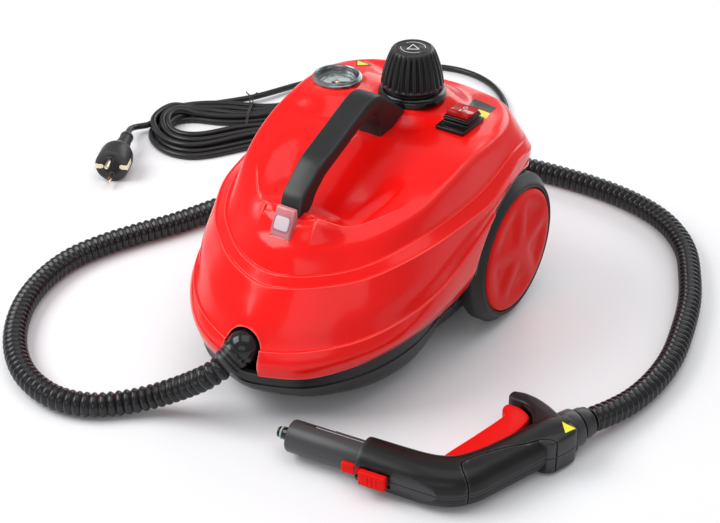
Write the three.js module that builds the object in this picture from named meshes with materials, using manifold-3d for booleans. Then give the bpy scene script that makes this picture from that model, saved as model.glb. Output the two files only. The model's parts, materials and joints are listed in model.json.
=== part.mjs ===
// Canister steam cleaner with its corrugated steam hose, steam gun and mains lead.
// Millimetres, +Z up, floor at z = 0, the nose of the machine towards -Y.
// Everything is laid out about the machine's own middle plane, x = 0. The last step moves
// it all so that the origin is under the middle of the machine and gun together.
import * as THREE from 'three';
import { mergeVertices } from 'three/addons/utils/BufferGeometryUtils.js';
import Module from 'manifold-3d';

const wasm = await Module();
wasm.setup();

// ---------------------------------------------------------------- driving dimensions
const ORIGIN_FROM_MACHINE = [76.7, 2.2];   // x, y of the origin in the machine's layout
const GAP = 0.3;                           // clearance between touching pieces
const SHELL_WALL = 2.8;
const AROUND = 46;                         // points round each ring of the shell
const CENTRE_OF_DECK = [0, 45, 192];

const WHEEL_Y = 95.7;
const TYRE_RADIUS = 74.3;
const TYRE_INNER_X = 105;
const TYRE_OUTER_X = 126;
const HUBCAP_RADIUS = 59;
const ARCH_RADIUS = 79;                    // wheel arch in the shell
const ARCH_SIDES = 44;
const WELL_X = 96.5;                       // inner wall of the wheel well

const CAP_Y = 105;
const CAP_BOTTOM_Z = 207;
const CAP_TOP_Z = 249;
const CAP_FLUTES = 26;
const FLUTE_DEPTH = 1.5;

const GAUGE = [-72, 85, 208];
const GAUGE_RADIUS = 25;
const SWITCH = [63, 86, 195];
const HANDLE_WIDTH = 25;

const HOSE_DIAMETER = 23;
const LEAD_DIAMETER = 7.2;
const GLAND = [0, 187, 58];

const GUN_FRONT = [67, -195, 19];          // middle of the barrel's front face
const GUN_ANGLE = THREE.MathUtils.degToRad(6.7);
const GUN_HALF_THICKNESS = 19;
const BARREL_RADIUS = 14.5;

// ---------------------------------------------------------------- materials
const finish = (color, roughness, metalness = 0) =>
  new THREE.MeshStandardMaterial({ color, roughness, metalness });
const RED_GLOSS = finish(0xd81810, 0.18);
const RED_PLASTIC = finish(0xdd2018, 0.4);
const BLACK_SATIN = finish(0x17171a, 0.42);
const BLACK_GLOSS = finish(0x0c0c0e, 0.2);
const RUBBER = finish(0x1b1a1a, 0.75);
const CHROME = finish(0xb8bcc0, 0.2, 1);
const STEEL = finish(0x9a9c9e, 0.35, 1);
const BRASS = finish(0xc9a860, 0.3, 1);
const CLEAR = finish(0xf2dfe4, 0.08);
const DIAL_WHITE = finish(0xe9ece8, 0.6);
const LIGHT_SEAL = finish(0x9fb8a6, 0.6);

// ---------------------------------------------------------------- helpers
const machine = new THREE.Group();

function add(name, geometry, material, parent = machine) {
  const mesh = new THREE.Mesh(geometry, material);
  mesh.name = name;
  parent.add(mesh);
  return mesh;
}

function toSolid(geometry) {
  const bare = geometry.clone();
  for (const key of Object.keys(bare.attributes)) {
    if (key !== 'position') bare.deleteAttribute(key);
  }
  const merged = mergeVertices(bare, 1e-4);
  const mesh = new wasm.Mesh({
    numProp: 3,
    vertProperties: new Float32Array(merged.attributes.position.array),
    triVerts: new Uint32Array(merged.index.array),
  });
  return new wasm.Manifold(mesh);
}

function toGeometry(solid) {
  const mesh = solid.getMesh();
  const geometry = new THREE.BufferGeometry();
  geometry.setAttribute('position', new THREE.BufferAttribute(mesh.vertProperties, 3));
  geometry.setIndex(new THREE.BufferAttribute(mesh.triVerts, 1));
  return geometry;
}

function cut(body, ...tools) {
  return tools.reduce((left, tool) => left.subtract(tool), body);
}

function box(x0, x1, y0, y1, z0, z1) {
  const geometry = new THREE.BoxGeometry(x1 - x0, y1 - y0, z1 - z0);
  geometry.translate((x0 + x1) / 2, (y0 + y1) / 2, (z0 + z1) / 2);
  return geometry;
}

// A cylinder from start to end, two [x, y, z] points.
function rod(start, end, radius, sides = 24, endRadius = radius) {
  const a = new THREE.Vector3(...start);
  const b = new THREE.Vector3(...end);
  const along = b.clone().sub(a);
  const geometry = new THREE.CylinderGeometry(endRadius, radius, along.length(), sides);
  const up = new THREE.Vector3(0, 1, 0);
  geometry.applyQuaternion(new THREE.Quaternion().setFromUnitVectors(up, along.normalize()));
  geometry.translate(...a.add(b).multiplyScalar(0.5).toArray());
  return geometry;
}

// A solid of revolution about Z at (x, y); the profile holds [radius, z] pairs.
function turned(profile, x = 0, y = 0, sides = 32) {
  const points = profile.map(([r, z]) => new THREE.Vector2(r, z));
  const closesOnItself = profile[0][0] > 0;
  if (closesOnItself) points.push(points[0].clone());
  const geometry = new THREE.LatheGeometry(points, sides);
  geometry.rotateX(Math.PI / 2);
  geometry.translate(x, y, 0);
  return outward(geometry);
}

// The same, turned about the X axis at (y, z); the profile holds [radius, x] pairs.
function turnedAboutX(profile, y, z, sides = 32) {
  const geometry = turned(profile, 0, 0, sides);
  geometry.rotateY(Math.PI / 2);
  geometry.translate(0, y, z);
  return geometry;
}

function signedVolume(geometry) {
  const flat = geometry.index ? geometry.toNonIndexed() : geometry;
  const p = flat.attributes.position.array;
  let volume = 0;
  for (let i = 0; i < p.length; i += 9) {
    volume += p[i] * (p[i + 4] * p[i + 8] - p[i + 5] * p[i + 7]);
    volume -= p[i + 1] * (p[i + 3] * p[i + 8] - p[i + 5] * p[i + 6]);
    volume += p[i + 2] * (p[i + 3] * p[i + 7] - p[i + 4] * p[i + 6]);
  }
  return volume / 6;
}

// Turns the faces round where a closed geometry faces inwards.
function outward(geometry) {
  if (signedVolume(geometry) > 0) return geometry;
  const index = geometry.index.array;
  for (let i = 0; i < index.length; i += 3) {
    [index[i + 1], index[i + 2]] = [index[i + 2], index[i + 1]];
  }
  return geometry;
}

// A flat outline of [a, b] points pushed up from z0 to z1, with an optional edge bevel.
function slab(outline, z0, z1, bevel = 0, steps = 2) {
  const shape = new THREE.Shape(outline.map(([a, b]) => new THREE.Vector2(a, b)));
  const geometry = new THREE.ExtrudeGeometry(shape, {
    depth: z1 - z0 - 2 * bevel,
    bevelEnabled: bevel > 0,
    bevelSize: bevel,
    bevelOffset: -bevel,
    bevelThickness: bevel,
    bevelSegments: steps,
  });
  geometry.translate(0, 0, z0 + bevel);
  return geometry;
}

// A side profile of [y, z] points pushed along X from x0 to x1.
function sideSlab(outline, x0, x1, bevel = 0) {
  const geometry = slab(outline, x0, x1, bevel);
  const yzx = new THREE.Matrix4().set(0, 0, 1, 0, 1, 0, 0, 0, 0, 1, 0, 0, 0, 0, 0, 1);
  return geometry.applyMatrix4(yzx);
}

// Smooth closed outline through a few [a, b] points.
function smoothOutline(points, count) {
  const nodes = points.map(([a, b]) => new THREE.Vector3(a, b, 0));
  const curve = new THREE.CatmullRomCurve3(nodes, true, 'centripetal');
  return curve.getPoints(count).slice(0, -1).map((p) => [p.x, p.y]);
}

// Moves an outline inwards (positive distance) or outwards (negative distance).
function offsetOutline(outline, distance) {
  const area = THREE.ShapeUtils.area(outline.map(([a, b]) => new THREE.Vector2(a, b)));
  const side = Math.sign(area) * distance;
  return outline.map((point, i) => {
    const before = outline[(i + outline.length - 1) % outline.length];
    const after = outline[(i + 1) % outline.length];
    const along = new THREE.Vector2(after[0] - before[0], after[1] - before[1]).normalize();
    return [point[0] - along.y * side, point[1] + along.x * side];
  });
}

// A round cord along a smooth curve through the given points.
function cord(points, diameter, steps, sides) {
  const path = new THREE.CatmullRomCurve3(points.map((p) => new THREE.Vector3(...p)));
  const circle = new THREE.Shape();
  for (let i = 0; i < sides; i += 1) {
    const angle = (i / sides) * 2 * Math.PI;
    const x = (diameter / 2) * Math.cos(angle);
    const y = (diameter / 2) * Math.sin(angle);
    if (i === 0) circle.moveTo(x, y);
    else circle.lineTo(x, y);
  }
  return new THREE.ExtrudeGeometry(circle, { steps, extrudePath: path, bevelEnabled: false });
}

// ---------------------------------------------------------------- upper shell
// Each ring is half of a closed line round the shell, from the nose to the rear, as
// [x, y, z]. The rings climb from the bottom edge over the creases to the deck.
const SHELL_RINGS = {
  edge: [[0, -176, 36], [28, -169, 36], [52, -156, 36], [72, -124, 36], [81, -92, 36],
    [89, -50, 36], [95, 0, 36], [98, 45, 36], [98, 95, 36], [91, 138, 36], [62, 172, 36],
    [0, 184, 36]],
  bulge: [[0, -180, 58], [32, -173, 60], [63, -158, 62], [94, -127, 64], [111, -96, 67],
    [120, -52, 73], [123, 0, 82], [124, 45, 92], [119, 95, 100], [106, 140, 95],
    [70, 174, 82], [0, 187, 74]],
  crease: [[0, -175, 74], [30, -167, 75], [59, -153, 79], [88, -126, 84], [107, -94, 91],
    [119, -51, 99], [124, 0, 116], [125, 45, 137], [121, 95, 152], [108, 140, 146],
    [70, 174, 125], [0, 186, 112]],
  belt: [[0, -159, 98], [28, -153, 100], [55, -140, 103], [80, -118, 107], [101, -93, 114],
    [116, -51, 122], [122, 0, 133], [125, 45, 145], [120, 95, 158], [107, 139, 154],
    [70, 173, 140], [0, 185, 130]],
  ledgeLow: [[0, -140, 119], [24, -136, 122], [46, -126, 125], [68, -109, 128],
    [87, -91, 134], [109, -50, 144], [119, 0, 149], [123, 45, 153], [118, 95, 165],
    [106, 138, 161], [69, 171, 152], [0, 183, 147]],
  ledgeHigh: [[0, -132, 128], [22, -129, 130], [41, -120, 132], [61, -105, 135],
    [80, -86, 141], [99, -46, 150], [109, 0, 156], [114, 45, 161], [111, 95, 171],
    [100, 134, 169], [66, 166, 161], [0, 178, 157]],
  shoulder: [[0, -118, 150], [18, -115, 150], [34, -106, 151], [52, -91, 153],
    [72, -70, 159], [94, -34, 172], [103, 5, 186], [105, 50, 198], [101, 95, 203],
    [87, 130, 201], [57, 158, 196], [0, 168, 192]],
};
const DECK_STEPS = [0.92, 0.82, 0.71, 0.58, 0.44, 0.27];

function ringPoints(half) {
  const right = half.map((p) => new THREE.Vector3(...p));
  const left = half.slice(1, -1).reverse().map(([x, y, z]) => new THREE.Vector3(-x, y, z));
  const curve = new THREE.CatmullRomCurve3([...right, ...left], true, 'centripetal');
  return Array.from({ length: AROUND }, (_, i) => curve.getPoint(i / AROUND));
}

const smooth = (t) => THREE.MathUtils.smoothstep(t, 0, 1);

// Level pads in the deck under the gauge, the cap and the switch.
const PADS = [
  { x: GAUGE[0], y: GAUGE[1], z: 206.6, radius: 28, slope: 8 },
  { x: 0, y: CAP_Y, z: 203.2, radius: 33, slope: 10 },
  { x: SWITCH[0] + 2, y: SWITCH[1], z: 194.3, radius: 29, slope: 9 },
];

// Height of the deck at (x, y): the plain crown z with the hand hollow, the boss round the
// indicator light and the pads worked into it.
function deckHeight(x, y, z) {
  const lip = -80 + 0.0075 * x * x;
  const hollow = smooth((y - lip) / 14) * smooth((70 - Math.abs(x)) / 34);
  const fade = 1 - smooth((y + 35) / 95);
  const lensBoss = smooth((24 - Math.abs(x)) / 10) * smooth((y + 121) / 12);
  const bossEnd = 1 - smooth((y + 88) / 12);
  let height = z - 13 * hollow * fade + 11 * lensBoss * bossEnd;
  for (const pad of PADS) {
    const distance = Math.hypot(x - pad.x, y - pad.y);
    height += (pad.z - height) * smooth((pad.radius + pad.slope - distance) / pad.slope);
  }
  return height;
}

function shellRows() {
  const rows = Object.values(SHELL_RINGS).map(ringPoints);
  const rim = rows[rows.length - 1];
  for (const s of DECK_STEPS) {
    rows.push(rim.map((p) => {
      const x = CENTRE_OF_DECK[0] + s * (p.x - CENTRE_OF_DECK[0]);
      const y = CENTRE_OF_DECK[1] + s * (p.y - CENTRE_OF_DECK[1]);
      const z = p.z + (CENTRE_OF_DECK[2] - p.z) * (1 - s * s);
      return new THREE.Vector3(x, y, deckHeight(x, y, z));
    }));
  }
  return rows;
}

// Moves every point of the rows along the surface normal, and the top point with them.
function movedRows(rows, top, distance) {
  const last = rows.length - 1;
  return rows.map((row, r) => row.map((p, i) => {
    const next = row[(i + 1) % AROUND];
    const before = row[(i + AROUND - 1) % AROUND];
    const above = r < last ? rows[r + 1][i] : top;
    const below = r > 0 ? rows[r - 1][i] : p;
    const across = next.clone().sub(before);
    const climb = above.clone().sub(below);
    return p.clone().addScaledVector(across.cross(climb).normalize(), distance);
  }));
}

// One closed skin over the rows, shut by a fan at the top and a flat face at the bottom.
function skinOver(rows, top) {
  const positions = rows.flat().concat(top).flatMap((p) => p.toArray());
  const index = [];
  const at = (r, i) => r * AROUND + (i % AROUND);
  const topIndex = rows.length * AROUND;
  for (let r = 0; r < rows.length - 1; r += 1) {
    for (let i = 0; i < AROUND; i += 1) {
      index.push(at(r, i), at(r, i + 1), at(r + 1, i + 1));
      index.push(at(r, i), at(r + 1, i + 1), at(r + 1, i));
    }
  }
  for (let i = 0; i < AROUND; i += 1) {
    index.push(at(rows.length - 1, i), at(rows.length - 1, i + 1), topIndex);
  }
  for (let i = 1; i < AROUND - 1; i += 1) {
    index.push(0, i + 1, i);
  }
  const geometry = new THREE.BufferGeometry();
  geometry.setAttribute('position', new THREE.Float32BufferAttribute(positions, 3));
  geometry.setIndex(index);
  return outward(geometry);
}

const deckTop = new THREE.Vector3(...CENTRE_OF_DECK);
deckTop.z = deckHeight(...CENTRE_OF_DECK);
const outerRows = shellRows();
const shellOuter = toSolid(skinOver(outerRows, deckTop));
const innerRows = movedRows(outerRows, deckTop, -SHELL_WALL);
for (const p of innerRows[0]) p.z = 30;
const innerTop = deckTop.clone().setZ(deckTop.z - SHELL_WALL);
const shellInner = toSolid(skinOver(innerRows, innerTop));

// ---------------------------------------------------------------- carrying handle
// Side outline of the strap handle as [y, z]; the two feet go through the deck.
const HANDLE_OUTLINE = [[-97, 176], [-92, 186], [-63, 207], [-48, 212], [8, 234], [20, 237],
  [32, 234], [54, 216], [73.4, 201], [73.4, 184], [30, 184], [31, 205], [24, 219], [12, 221],
  [-46, 198], [-58, 193], [-72, 181], [-80, 168], [-97, 164]];
const handleGeometry = sideSlab(HANDLE_OUTLINE, -HANDLE_WIDTH / 2, HANDLE_WIDTH / 2, 1.5);
const handleRoom = sideSlab(
  offsetOutline(HANDLE_OUTLINE, -GAP),
  -HANDLE_WIDTH / 2 - GAP,
  HANDLE_WIDTH / 2 + GAP,
);

// ---------------------------------------------------------------- shell cut-outs
const LENS = { x: 10, front: -113, back: -98, bottom: 148, slopeFoot: 158, top: 177.5 };
const lensOutline = [[LENS.front, LENS.bottom], [LENS.front, LENS.slopeFoot],
  [LENS.back - 4, LENS.top], [LENS.back, LENS.top], [LENS.back, LENS.bottom]];
const archTool = (side) => toSolid(rod([side * WELL_X, WHEEL_Y, TYRE_RADIUS],
  [side * 140, WHEEL_Y, TYRE_RADIUS], ARCH_RADIUS, ARCH_SIDES));
const NOSE_ARCH_RADIUS = 18.5;
const NOSE_ARCH_Z = 70;
const noseRound = toSolid(rod([0, -205, NOSE_ARCH_Z], [0, -152, NOSE_ARCH_Z],
  NOSE_ARCH_RADIUS, 28));
const noseSlot = toSolid(box(-NOSE_ARCH_RADIUS, NOSE_ARCH_RADIUS, -205, -152, 20,
  NOSE_ARCH_Z));
const collarHole = toSolid(rod([0, CAP_Y, 170], [0, CAP_Y, 230], 22, 36));
const gaugeHole = toSolid(rod([GAUGE[0], GAUGE[1], 180], [GAUGE[0], GAUGE[1], 230], 22.3, 32));
const switchHole = toSolid(box(SWITCH[0] - 12.4, SWITCH[0] + 12.4, SWITCH[1] - 8,
  SWITCH[1] + 16.8, 170, 230));
const lensHole = toSolid(sideSlab(offsetOutline(lensOutline, -GAP), -LENS.x - GAP,
  LENS.x + GAP));
const glandHole = toSolid(rod([0, 160, GLAND[2]], [0, 205, GLAND[2]], 6.6, 20));

const shellSolid = cut(shellOuter, shellInner, archTool(1), archTool(-1), noseRound,
  noseSlot, collarHole, gaugeHole, switchHole, lensHole, glandHole,
  toSolid(handleRoom));
const shellPieces = shellSolid.decompose();
const shellMain = shellPieces.reduce((a, b) => (b.volume() > a.volume() ? b : a));
add('upper_shell', toGeometry(shellMain), RED_GLOSS);
add('carry_handle', handleGeometry, BLACK_SATIN);

// ---------------------------------------------------------------- base tray
const TRAY_BOTTOM_Z = 18;
const TRAY_FLOOR = 3;
const TRAY_WALL = 3;

// The shell's bottom edge drawn in by a distance and drawn back at the nose, at height z.
function trayRing(inset, z, back = 0) {
  const flat = outerRows[0].map((p) => [p.x, p.y]);
  return offsetOutline(flat, inset).map(([x, y]) => (
    new THREE.Vector3(x, y + back * smooth((-40 - y) / 110), z)));
}

function trayBody(rings, topZ) {
  const middle = new THREE.Vector3(0, 0, topZ);
  return toSolid(skinOver(rings, middle));
}

const trayOuter = trayBody([trayRing(9, TRAY_BOTTOM_Z, 11), trayRing(5.5, 22, 9),
  trayRing(4, 29, 4), trayRing(3.4, 35.4)], 35.4);
const trayInner = trayBody([trayRing(10.5, TRAY_BOTTOM_Z + TRAY_FLOOR, 11),
  trayRing(5.2 + TRAY_WALL, 40)], 40);
const CASTER_Y = -112;
const casterPocket = toSolid(rod([0, CASTER_Y, 10], [0, CASTER_Y, 30], 21, 32));
const casterCup = toSolid(rod([0, CASTER_Y, TRAY_BOTTOM_Z + 1], [0, CASTER_Y, 33], 24, 32));

// One wheel well: a flat inner wall and a rim that follows the arch in the shell.
function wheelWell(side) {
  const rimOuter = toSolid(rod([side * WELL_X, WHEEL_Y, TYRE_RADIUS],
    [side * 135, WHEEL_Y, TYRE_RADIUS], ARCH_RADIUS - GAP, ARCH_SIDES));
  const rimInner = toSolid(rod([side * (WELL_X + 2.5), WHEEL_Y, TYRE_RADIUS],
    [side * 140, WHEEL_Y, TYRE_RADIUS], ARCH_RADIUS - 2.2, ARCH_SIDES));
  const insideShell = cut(shellOuter, toSolid(box(-140, 140, -200, 200, 0, 36.5)));
  return rimOuter.subtract(rimInner).intersect(insideShell);
}

function wellBracket(side) {
  const low = Math.min(side * 84, side * (WELL_X + 2.4));
  const high = Math.max(side * 84, side * (WELL_X + 2.4));
  return toSolid(box(low, high, 66, 125, 30, 46)).intersect(shellInner);
}

const axleHole = (side) => toSolid(rod([side * 70, WHEEL_Y, TYRE_RADIUS],
  [side * 104, WHEEL_Y, TYRE_RADIUS], 5 + GAP, 24));
const axleBoss = (side) => toSolid(rod([side * 84, WHEEL_Y, TYRE_RADIUS],
  [side * (WELL_X + 1), WHEEL_Y, TYRE_RADIUS], 10, 24));

const traySolid = cut(
  trayOuter.subtract(trayInner).add(casterCup)
    .add(wheelWell(1)).add(wheelWell(-1))
    .add(wellBracket(1)).add(wellBracket(-1))
    .add(axleBoss(1)).add(axleBoss(-1)),
  casterPocket,
  toSolid(rod([0, CASTER_Y, 20], [0, CASTER_Y, 40], 4 + GAP, 20)),
  axleHole(1),
  axleHole(-1),
  noseSlot,
);
const trayMain = traySolid.decompose().reduce((a, b) => (b.volume() > a.volume() ? b : a));
add('base_tray', toGeometry(trayMain), BLACK_SATIN);

// ---------------------------------------------------------------- indicator light
add('indicator_lens', toGeometry(toSolid(sideSlab(lensOutline, -LENS.x, LENS.x, 0.8))
  .subtract(toSolid(rod([0, -105.5, 140], [0, -105.5, 162], 4, 20)))), CLEAR);
add('indicator_lamp', rod([0, -105.5, 148], [0, -105.5, 160], 3.2, 16, 2.4), CLEAR);

// ---------------------------------------------------------------- pressure gauge
const gaugeGroup = new THREE.Group();
gaugeGroup.position.set(...GAUGE);
machine.add(gaugeGroup);
add('gauge_case', turned([[0, -24], [21.8, -24], [21.8, -0.6], [20.2, -0.6], [20.2, -9.6],
  [0, -9.6]], 0, 0, 28), CHROME, gaugeGroup);
add('gauge_bezel', turned([[20.6, -0.2], [GAUGE_RADIUS, -0.2], [GAUGE_RADIUS, 2.2],
  [23.6, 4], [21.4, 4], [20.6, 2]], 0, 0, 32), CHROME, gaugeGroup);
add('gauge_dial', turned([[1.6, -9.2], [19.6, -9.2], [19.6, -8.2], [1.6, -8.2]], 0, 0, 28),
  DIAL_WHITE, gaugeGroup);
const needleOutline = [[-1.3, -5], [1.3, -5], [0.5, 15.5], [-0.5, 15.5]];
const needle = toSolid(slab(needleOutline, -6.8, -6))
  .add(toSolid(rod([0, 0, -9.2], [0, 0, -5], 1.2, 16)));
const NEEDLE_REST = THREE.MathUtils.degToRad(-57);
add('gauge_needle', toGeometry(needle), BLACK_SATIN, gaugeGroup).rotation.z = NEEDLE_REST;
add('gauge_glass', turned([[0, -2.4], [20, -2.4], [20, -0.9], [0, -0.9]], 0, 0, 28), CLEAR,
  gaugeGroup);

// ---------------------------------------------------------------- boiler and steam circuit
const BOILER = { y: 84, radius: 56, z0: 46, split: 104, z1: 158, wall: 2 };
const BOILER_FLANGE = 61;

// Half of the boiler's closed wall, as a cup with a flange; up is 1 or -1.
function boilerHalf(up) {
  const far = up > 0 ? BOILER.z1 : BOILER.z0;
  const seam = BOILER.split + up * GAP / 2;
  const corner = 16;
  const profile = [
    [up > 0 ? 9 : 0, far], [BOILER.radius - corner, far],
    [BOILER.radius - corner * 0.3, far - up * corner * 0.3],
    [BOILER.radius, far - up * corner], [BOILER.radius, seam + up * 3],
    [BOILER_FLANGE, seam + up * 3], [BOILER_FLANGE, seam],
    [BOILER.radius - BOILER.wall, seam],
    [BOILER.radius - BOILER.wall, far - up * (corner + 1)],
    [BOILER.radius - corner * 0.4, far - up * (corner * 0.4 + 1)],
    [BOILER.radius - corner - 1, far - up * BOILER.wall], [up > 0 ? 9 : 0, far - up * BOILER.wall],
  ];
  return turned(profile, 0, BOILER.y, 24);
}

const NECK = { radius: 16, bore: 10, foot: 20, top: 203 };
add('boiler_lower', boilerHalf(-1), STEEL);
add('boiler_upper', toGeometry(toSolid(boilerHalf(1))
  .add(toSolid(rod([0, BOILER.y, BOILER.z1 - 2], [0, BOILER.y, BOILER.z1], 20, 32)))
  .subtract(toSolid(rod([0, CAP_Y, 140], [0, CAP_Y, 170], NECK.bore, 32)))), STEEL);
add('neck_tube', turned([[NECK.bore, BOILER.z1 + GAP], [NECK.foot, BOILER.z1 + GAP],
  [NECK.foot, BOILER.z1 + 3], [NECK.radius, BOILER.z1 + 3], [NECK.radius, NECK.top],
  [NECK.bore, NECK.top]], 0, CAP_Y, 32), STEEL);

// The element is one bend of tube that lies in the bottom of the boiler.
const elementPath = [];
for (let i = 0; i <= 12; i += 1) {
  const angle = -0.75 * Math.PI + (i / 12) * 1.5 * Math.PI;
  elementPath.push([34 * Math.sin(angle), BOILER.y + 34 * Math.cos(angle), 62]);
}
add('heating_element', cord(elementPath, 8, 20, 8), STEEL);
add('thermostat', rod([30, BOILER.y - 10, BOILER.z1 + GAP], [30, BOILER.y - 10, 172], 9, 20),
  STEEL);
add('thermal_fuse', rod([-30, BOILER.y - 24, BOILER.z1 + GAP + 3.2],
  [-8, BOILER.y - 30, BOILER.z1 + GAP + 3.2], 3, 12), BRASS);
add('steam_valve', toGeometry(toSolid(box(-13, 13, -66, -26, 70, 96))
  .add(toSolid(rod([0, -65, 83], [0, -76, 83], 6, 16)))
  .add(toSolid(rod([0, -27, 83], [0, -16, 83], 6, 16)))
  .add(toSolid(rod([0, -46, 95], [0, -46, 120], 10, 20)))), BRASS);
add('steam_pipe', cord([[0, -76.5, 83], [0, -92, 82], [0, -110, 76], [0, -126, 70],
  [0, -139, 68.4]], 7, 16, 10), BRASS);
add('gauge_pipe', cord([[-40, 84, BOILER.z1 + 0.4], [-41, 84, 166], [-50, 84.4, 172],
  [-64, 85, 174], [-71, 85, 178], [-72, 85, 183.6]], 4, 18, 8), BRASS);
add('terminal_block', box(-20, 20, -8, 12, 22, 38), DIAL_WHITE);

// ---------------------------------------------------------------- filler collar and safety cap
add('filler_collar', turned([[17, 196], [21.6, 196], [21.6, 203.6], [31, 203.6], [31, 206.4],
  [17, 206.4]], 0, CAP_Y, 32), BLACK_SATIN);

// Fluted dome of the cap with a hollow underside for the neck.
function capGeometry() {
  const levels = [[30.5, CAP_BOTTOM_Z, 0.2], [31.2, 212, 1], [29.4, 223, 1],
    [25.8, 236, 0.9], [21.4, 245, 0], [18.6, 248.4, 0]];
  const around = CAP_FLUTES * 3;
  const positions = [];
  for (const [radius, z, depth] of levels) {
    for (let i = 0; i < around; i += 1) {
      const inFlute = i % 3 === 0 ? 1 : 0;
      const r = radius - FLUTE_DEPTH * depth * inFlute;
      const angle = (i / around) * 2 * Math.PI;
      positions.push(r * Math.cos(angle), r * Math.sin(angle), z);
    }
  }
  positions.push(0, 0, CAP_TOP_Z);
  positions.push(0, 0, CAP_BOTTOM_Z);
  const index = [];
  const at = (level, i) => level * around + (i % around);
  const top = levels.length * around;
  for (let i = 0; i < around; i += 1) {
    for (let level = 0; level < levels.length - 1; level += 1) {
      index.push(at(level, i), at(level, i + 1), at(level + 1, i + 1));
      index.push(at(level, i), at(level + 1, i + 1), at(level + 1, i));
    }
    index.push(at(levels.length - 1, i), at(levels.length - 1, i + 1), top);
    index.push(at(0, i + 1), at(0, i), top + 1);
  }
  const geometry = new THREE.BufferGeometry();
  geometry.setAttribute('position', new THREE.Float32BufferAttribute(positions, 3));
  geometry.setIndex(index);
  geometry.translate(0, CAP_Y, 0);
  return outward(geometry);
}

const PLUG_RADIUS = 9;
const capHollow = toSolid(turned([[0, 200], [26, 200], [26, 220], [11, 220], [11, 232],
  [0, 232]], 0, CAP_Y, 32));
add('safety_cap', toGeometry(toSolid(capGeometry()).subtract(capHollow)), BLACK_SATIN);
add('cap_plug', turned([[0, 180], [PLUG_RADIUS, 180], [PLUG_RADIUS, 206.5], [16, 206.5],
  [16, 214], [10.6, 214], [10.6, 231.6], [0, 231.6]], 0, CAP_Y, 32), BRASS);
add('cap_seal', turned([[10.4, 203.3], [15.6, 203.3], [15.6, 206.2], [10.4, 206.2]], 0,
  CAP_Y, 32), RUBBER);

// ---------------------------------------------------------------- rocker switch
const [SX, SY, SZ] = SWITCH;
const ROCKER = { y: SY + 4.4, halfWidth: 10.4, halfLength: 10, z: SZ + 8.4 };
const switchFrame = toSolid(box(SX - 14.6, SX + 15, SY - 19.5, SY + 20, SZ, SZ + 3.4))
  .add(toSolid(box(SX - 13.4, SX + 13.4, ROCKER.y - 12.6, ROCKER.y + 13.4, SZ + 3, SZ + 9)))
  .add(toSolid(box(SX - 12, SX + 12, ROCKER.y - 12, ROCKER.y + 12, SZ - 20, SZ + 1)))
  .subtract(toSolid(box(SX - ROCKER.halfWidth - 0.7, SX + ROCKER.halfWidth + 0.7,
    ROCKER.y - ROCKER.halfLength - 1, ROCKER.y + ROCKER.halfLength + 1, SZ - 3, SZ + 20)));
add('switch_frame', toGeometry(switchFrame), BLACK_GLOSS);
const ROCKER_TILT = -10;
const rockerOutline = [[-9.4, 4.6], [0, 2.6], [9.4, 4.6], [9.4, -1], [4, -5.4], [-4, -5.4],
  [-9.4, -1]];
const rocker = sideSlab(rockerOutline, -ROCKER.halfWidth, ROCKER.halfWidth, 0.6);
rocker.rotateX(THREE.MathUtils.degToRad(ROCKER_TILT));
rocker.translate(SX, ROCKER.y, ROCKER.z);
add('switch_rocker', rocker, RED_PLASTIC);

// ---------------------------------------------------------------- rear wheels
for (const [label, side] of [['left', -1], ['right', 1]]) {
  const rim = HUBCAP_RADIUS + 3;
  const tyre = [[rim, TYRE_INNER_X], [TYRE_RADIUS - 3, TYRE_INNER_X],
    [TYRE_RADIUS, TYRE_INNER_X + 3], [TYRE_RADIUS, TYRE_OUTER_X - 6],
    [TYRE_RADIUS - 2, TYRE_OUTER_X - 2], [rim + 1, TYRE_OUTER_X], [rim, TYRE_OUTER_X - 1]];
  const hub = [[5 + GAP, TYRE_INNER_X + 1], [14, TYRE_INNER_X + 1], [14, TYRE_INNER_X + 4],
    [rim - GAP, TYRE_INNER_X + 4], [rim - GAP, TYRE_OUTER_X - 5], [rim - 4, TYRE_OUTER_X - 5],
    [rim - 4, TYRE_INNER_X + 7], [12, TYRE_INNER_X + 7], [12, TYRE_INNER_X + 9],
    [5 + GAP, TYRE_INNER_X + 9]];
  const cap = [[0, TYRE_OUTER_X - 3.6], [HUBCAP_RADIUS - 6, TYRE_OUTER_X - 4.6],
    [HUBCAP_RADIUS - 6, TYRE_OUTER_X - 10], [HUBCAP_RADIUS - 3, TYRE_OUTER_X - 10],
    [HUBCAP_RADIUS - 3, TYRE_OUTER_X - 4.6], [HUBCAP_RADIUS, TYRE_OUTER_X - 4.4],
    [HUBCAP_RADIUS, TYRE_OUTER_X - 1.6], [HUBCAP_RADIUS - 8, TYRE_OUTER_X],
    [30, TYRE_OUTER_X + 2], [0, TYRE_OUTER_X + 2.6]];
  const wheel = new THREE.Group();
  if (side < 0) wheel.rotation.z = Math.PI;
  wheel.position.set(0, WHEEL_Y, TYRE_RADIUS);
  machine.add(wheel);
  add(`tyre_${label}`, turnedAboutX(tyre, 0, 0, 40), RUBBER, wheel);
  add(`wheel_hub_${label}`, turnedAboutX(hub, 0, 0, 24), BLACK_SATIN, wheel);
  add(`hubcap_${label}`, turnedAboutX(cap, 0, 0, 32), RED_PLASTIC, wheel);
  add(`wheel_axle_${label}`, turnedAboutX([[0, 80], [5, 80], [5, 114.6], [3.6, 114.6],
    [3.6, 116], [5, 116], [5, 118.4], [0, 118.4]], 0, 0, 20), STEEL, wheel);
  add(`axle_clip_${label}`, turnedAboutX([[3.9, 114.8], [7.5, 114.8], [7.5, 115.8],
    [3.9, 115.8]], 0, 0, 20), STEEL, wheel);
}

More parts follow.
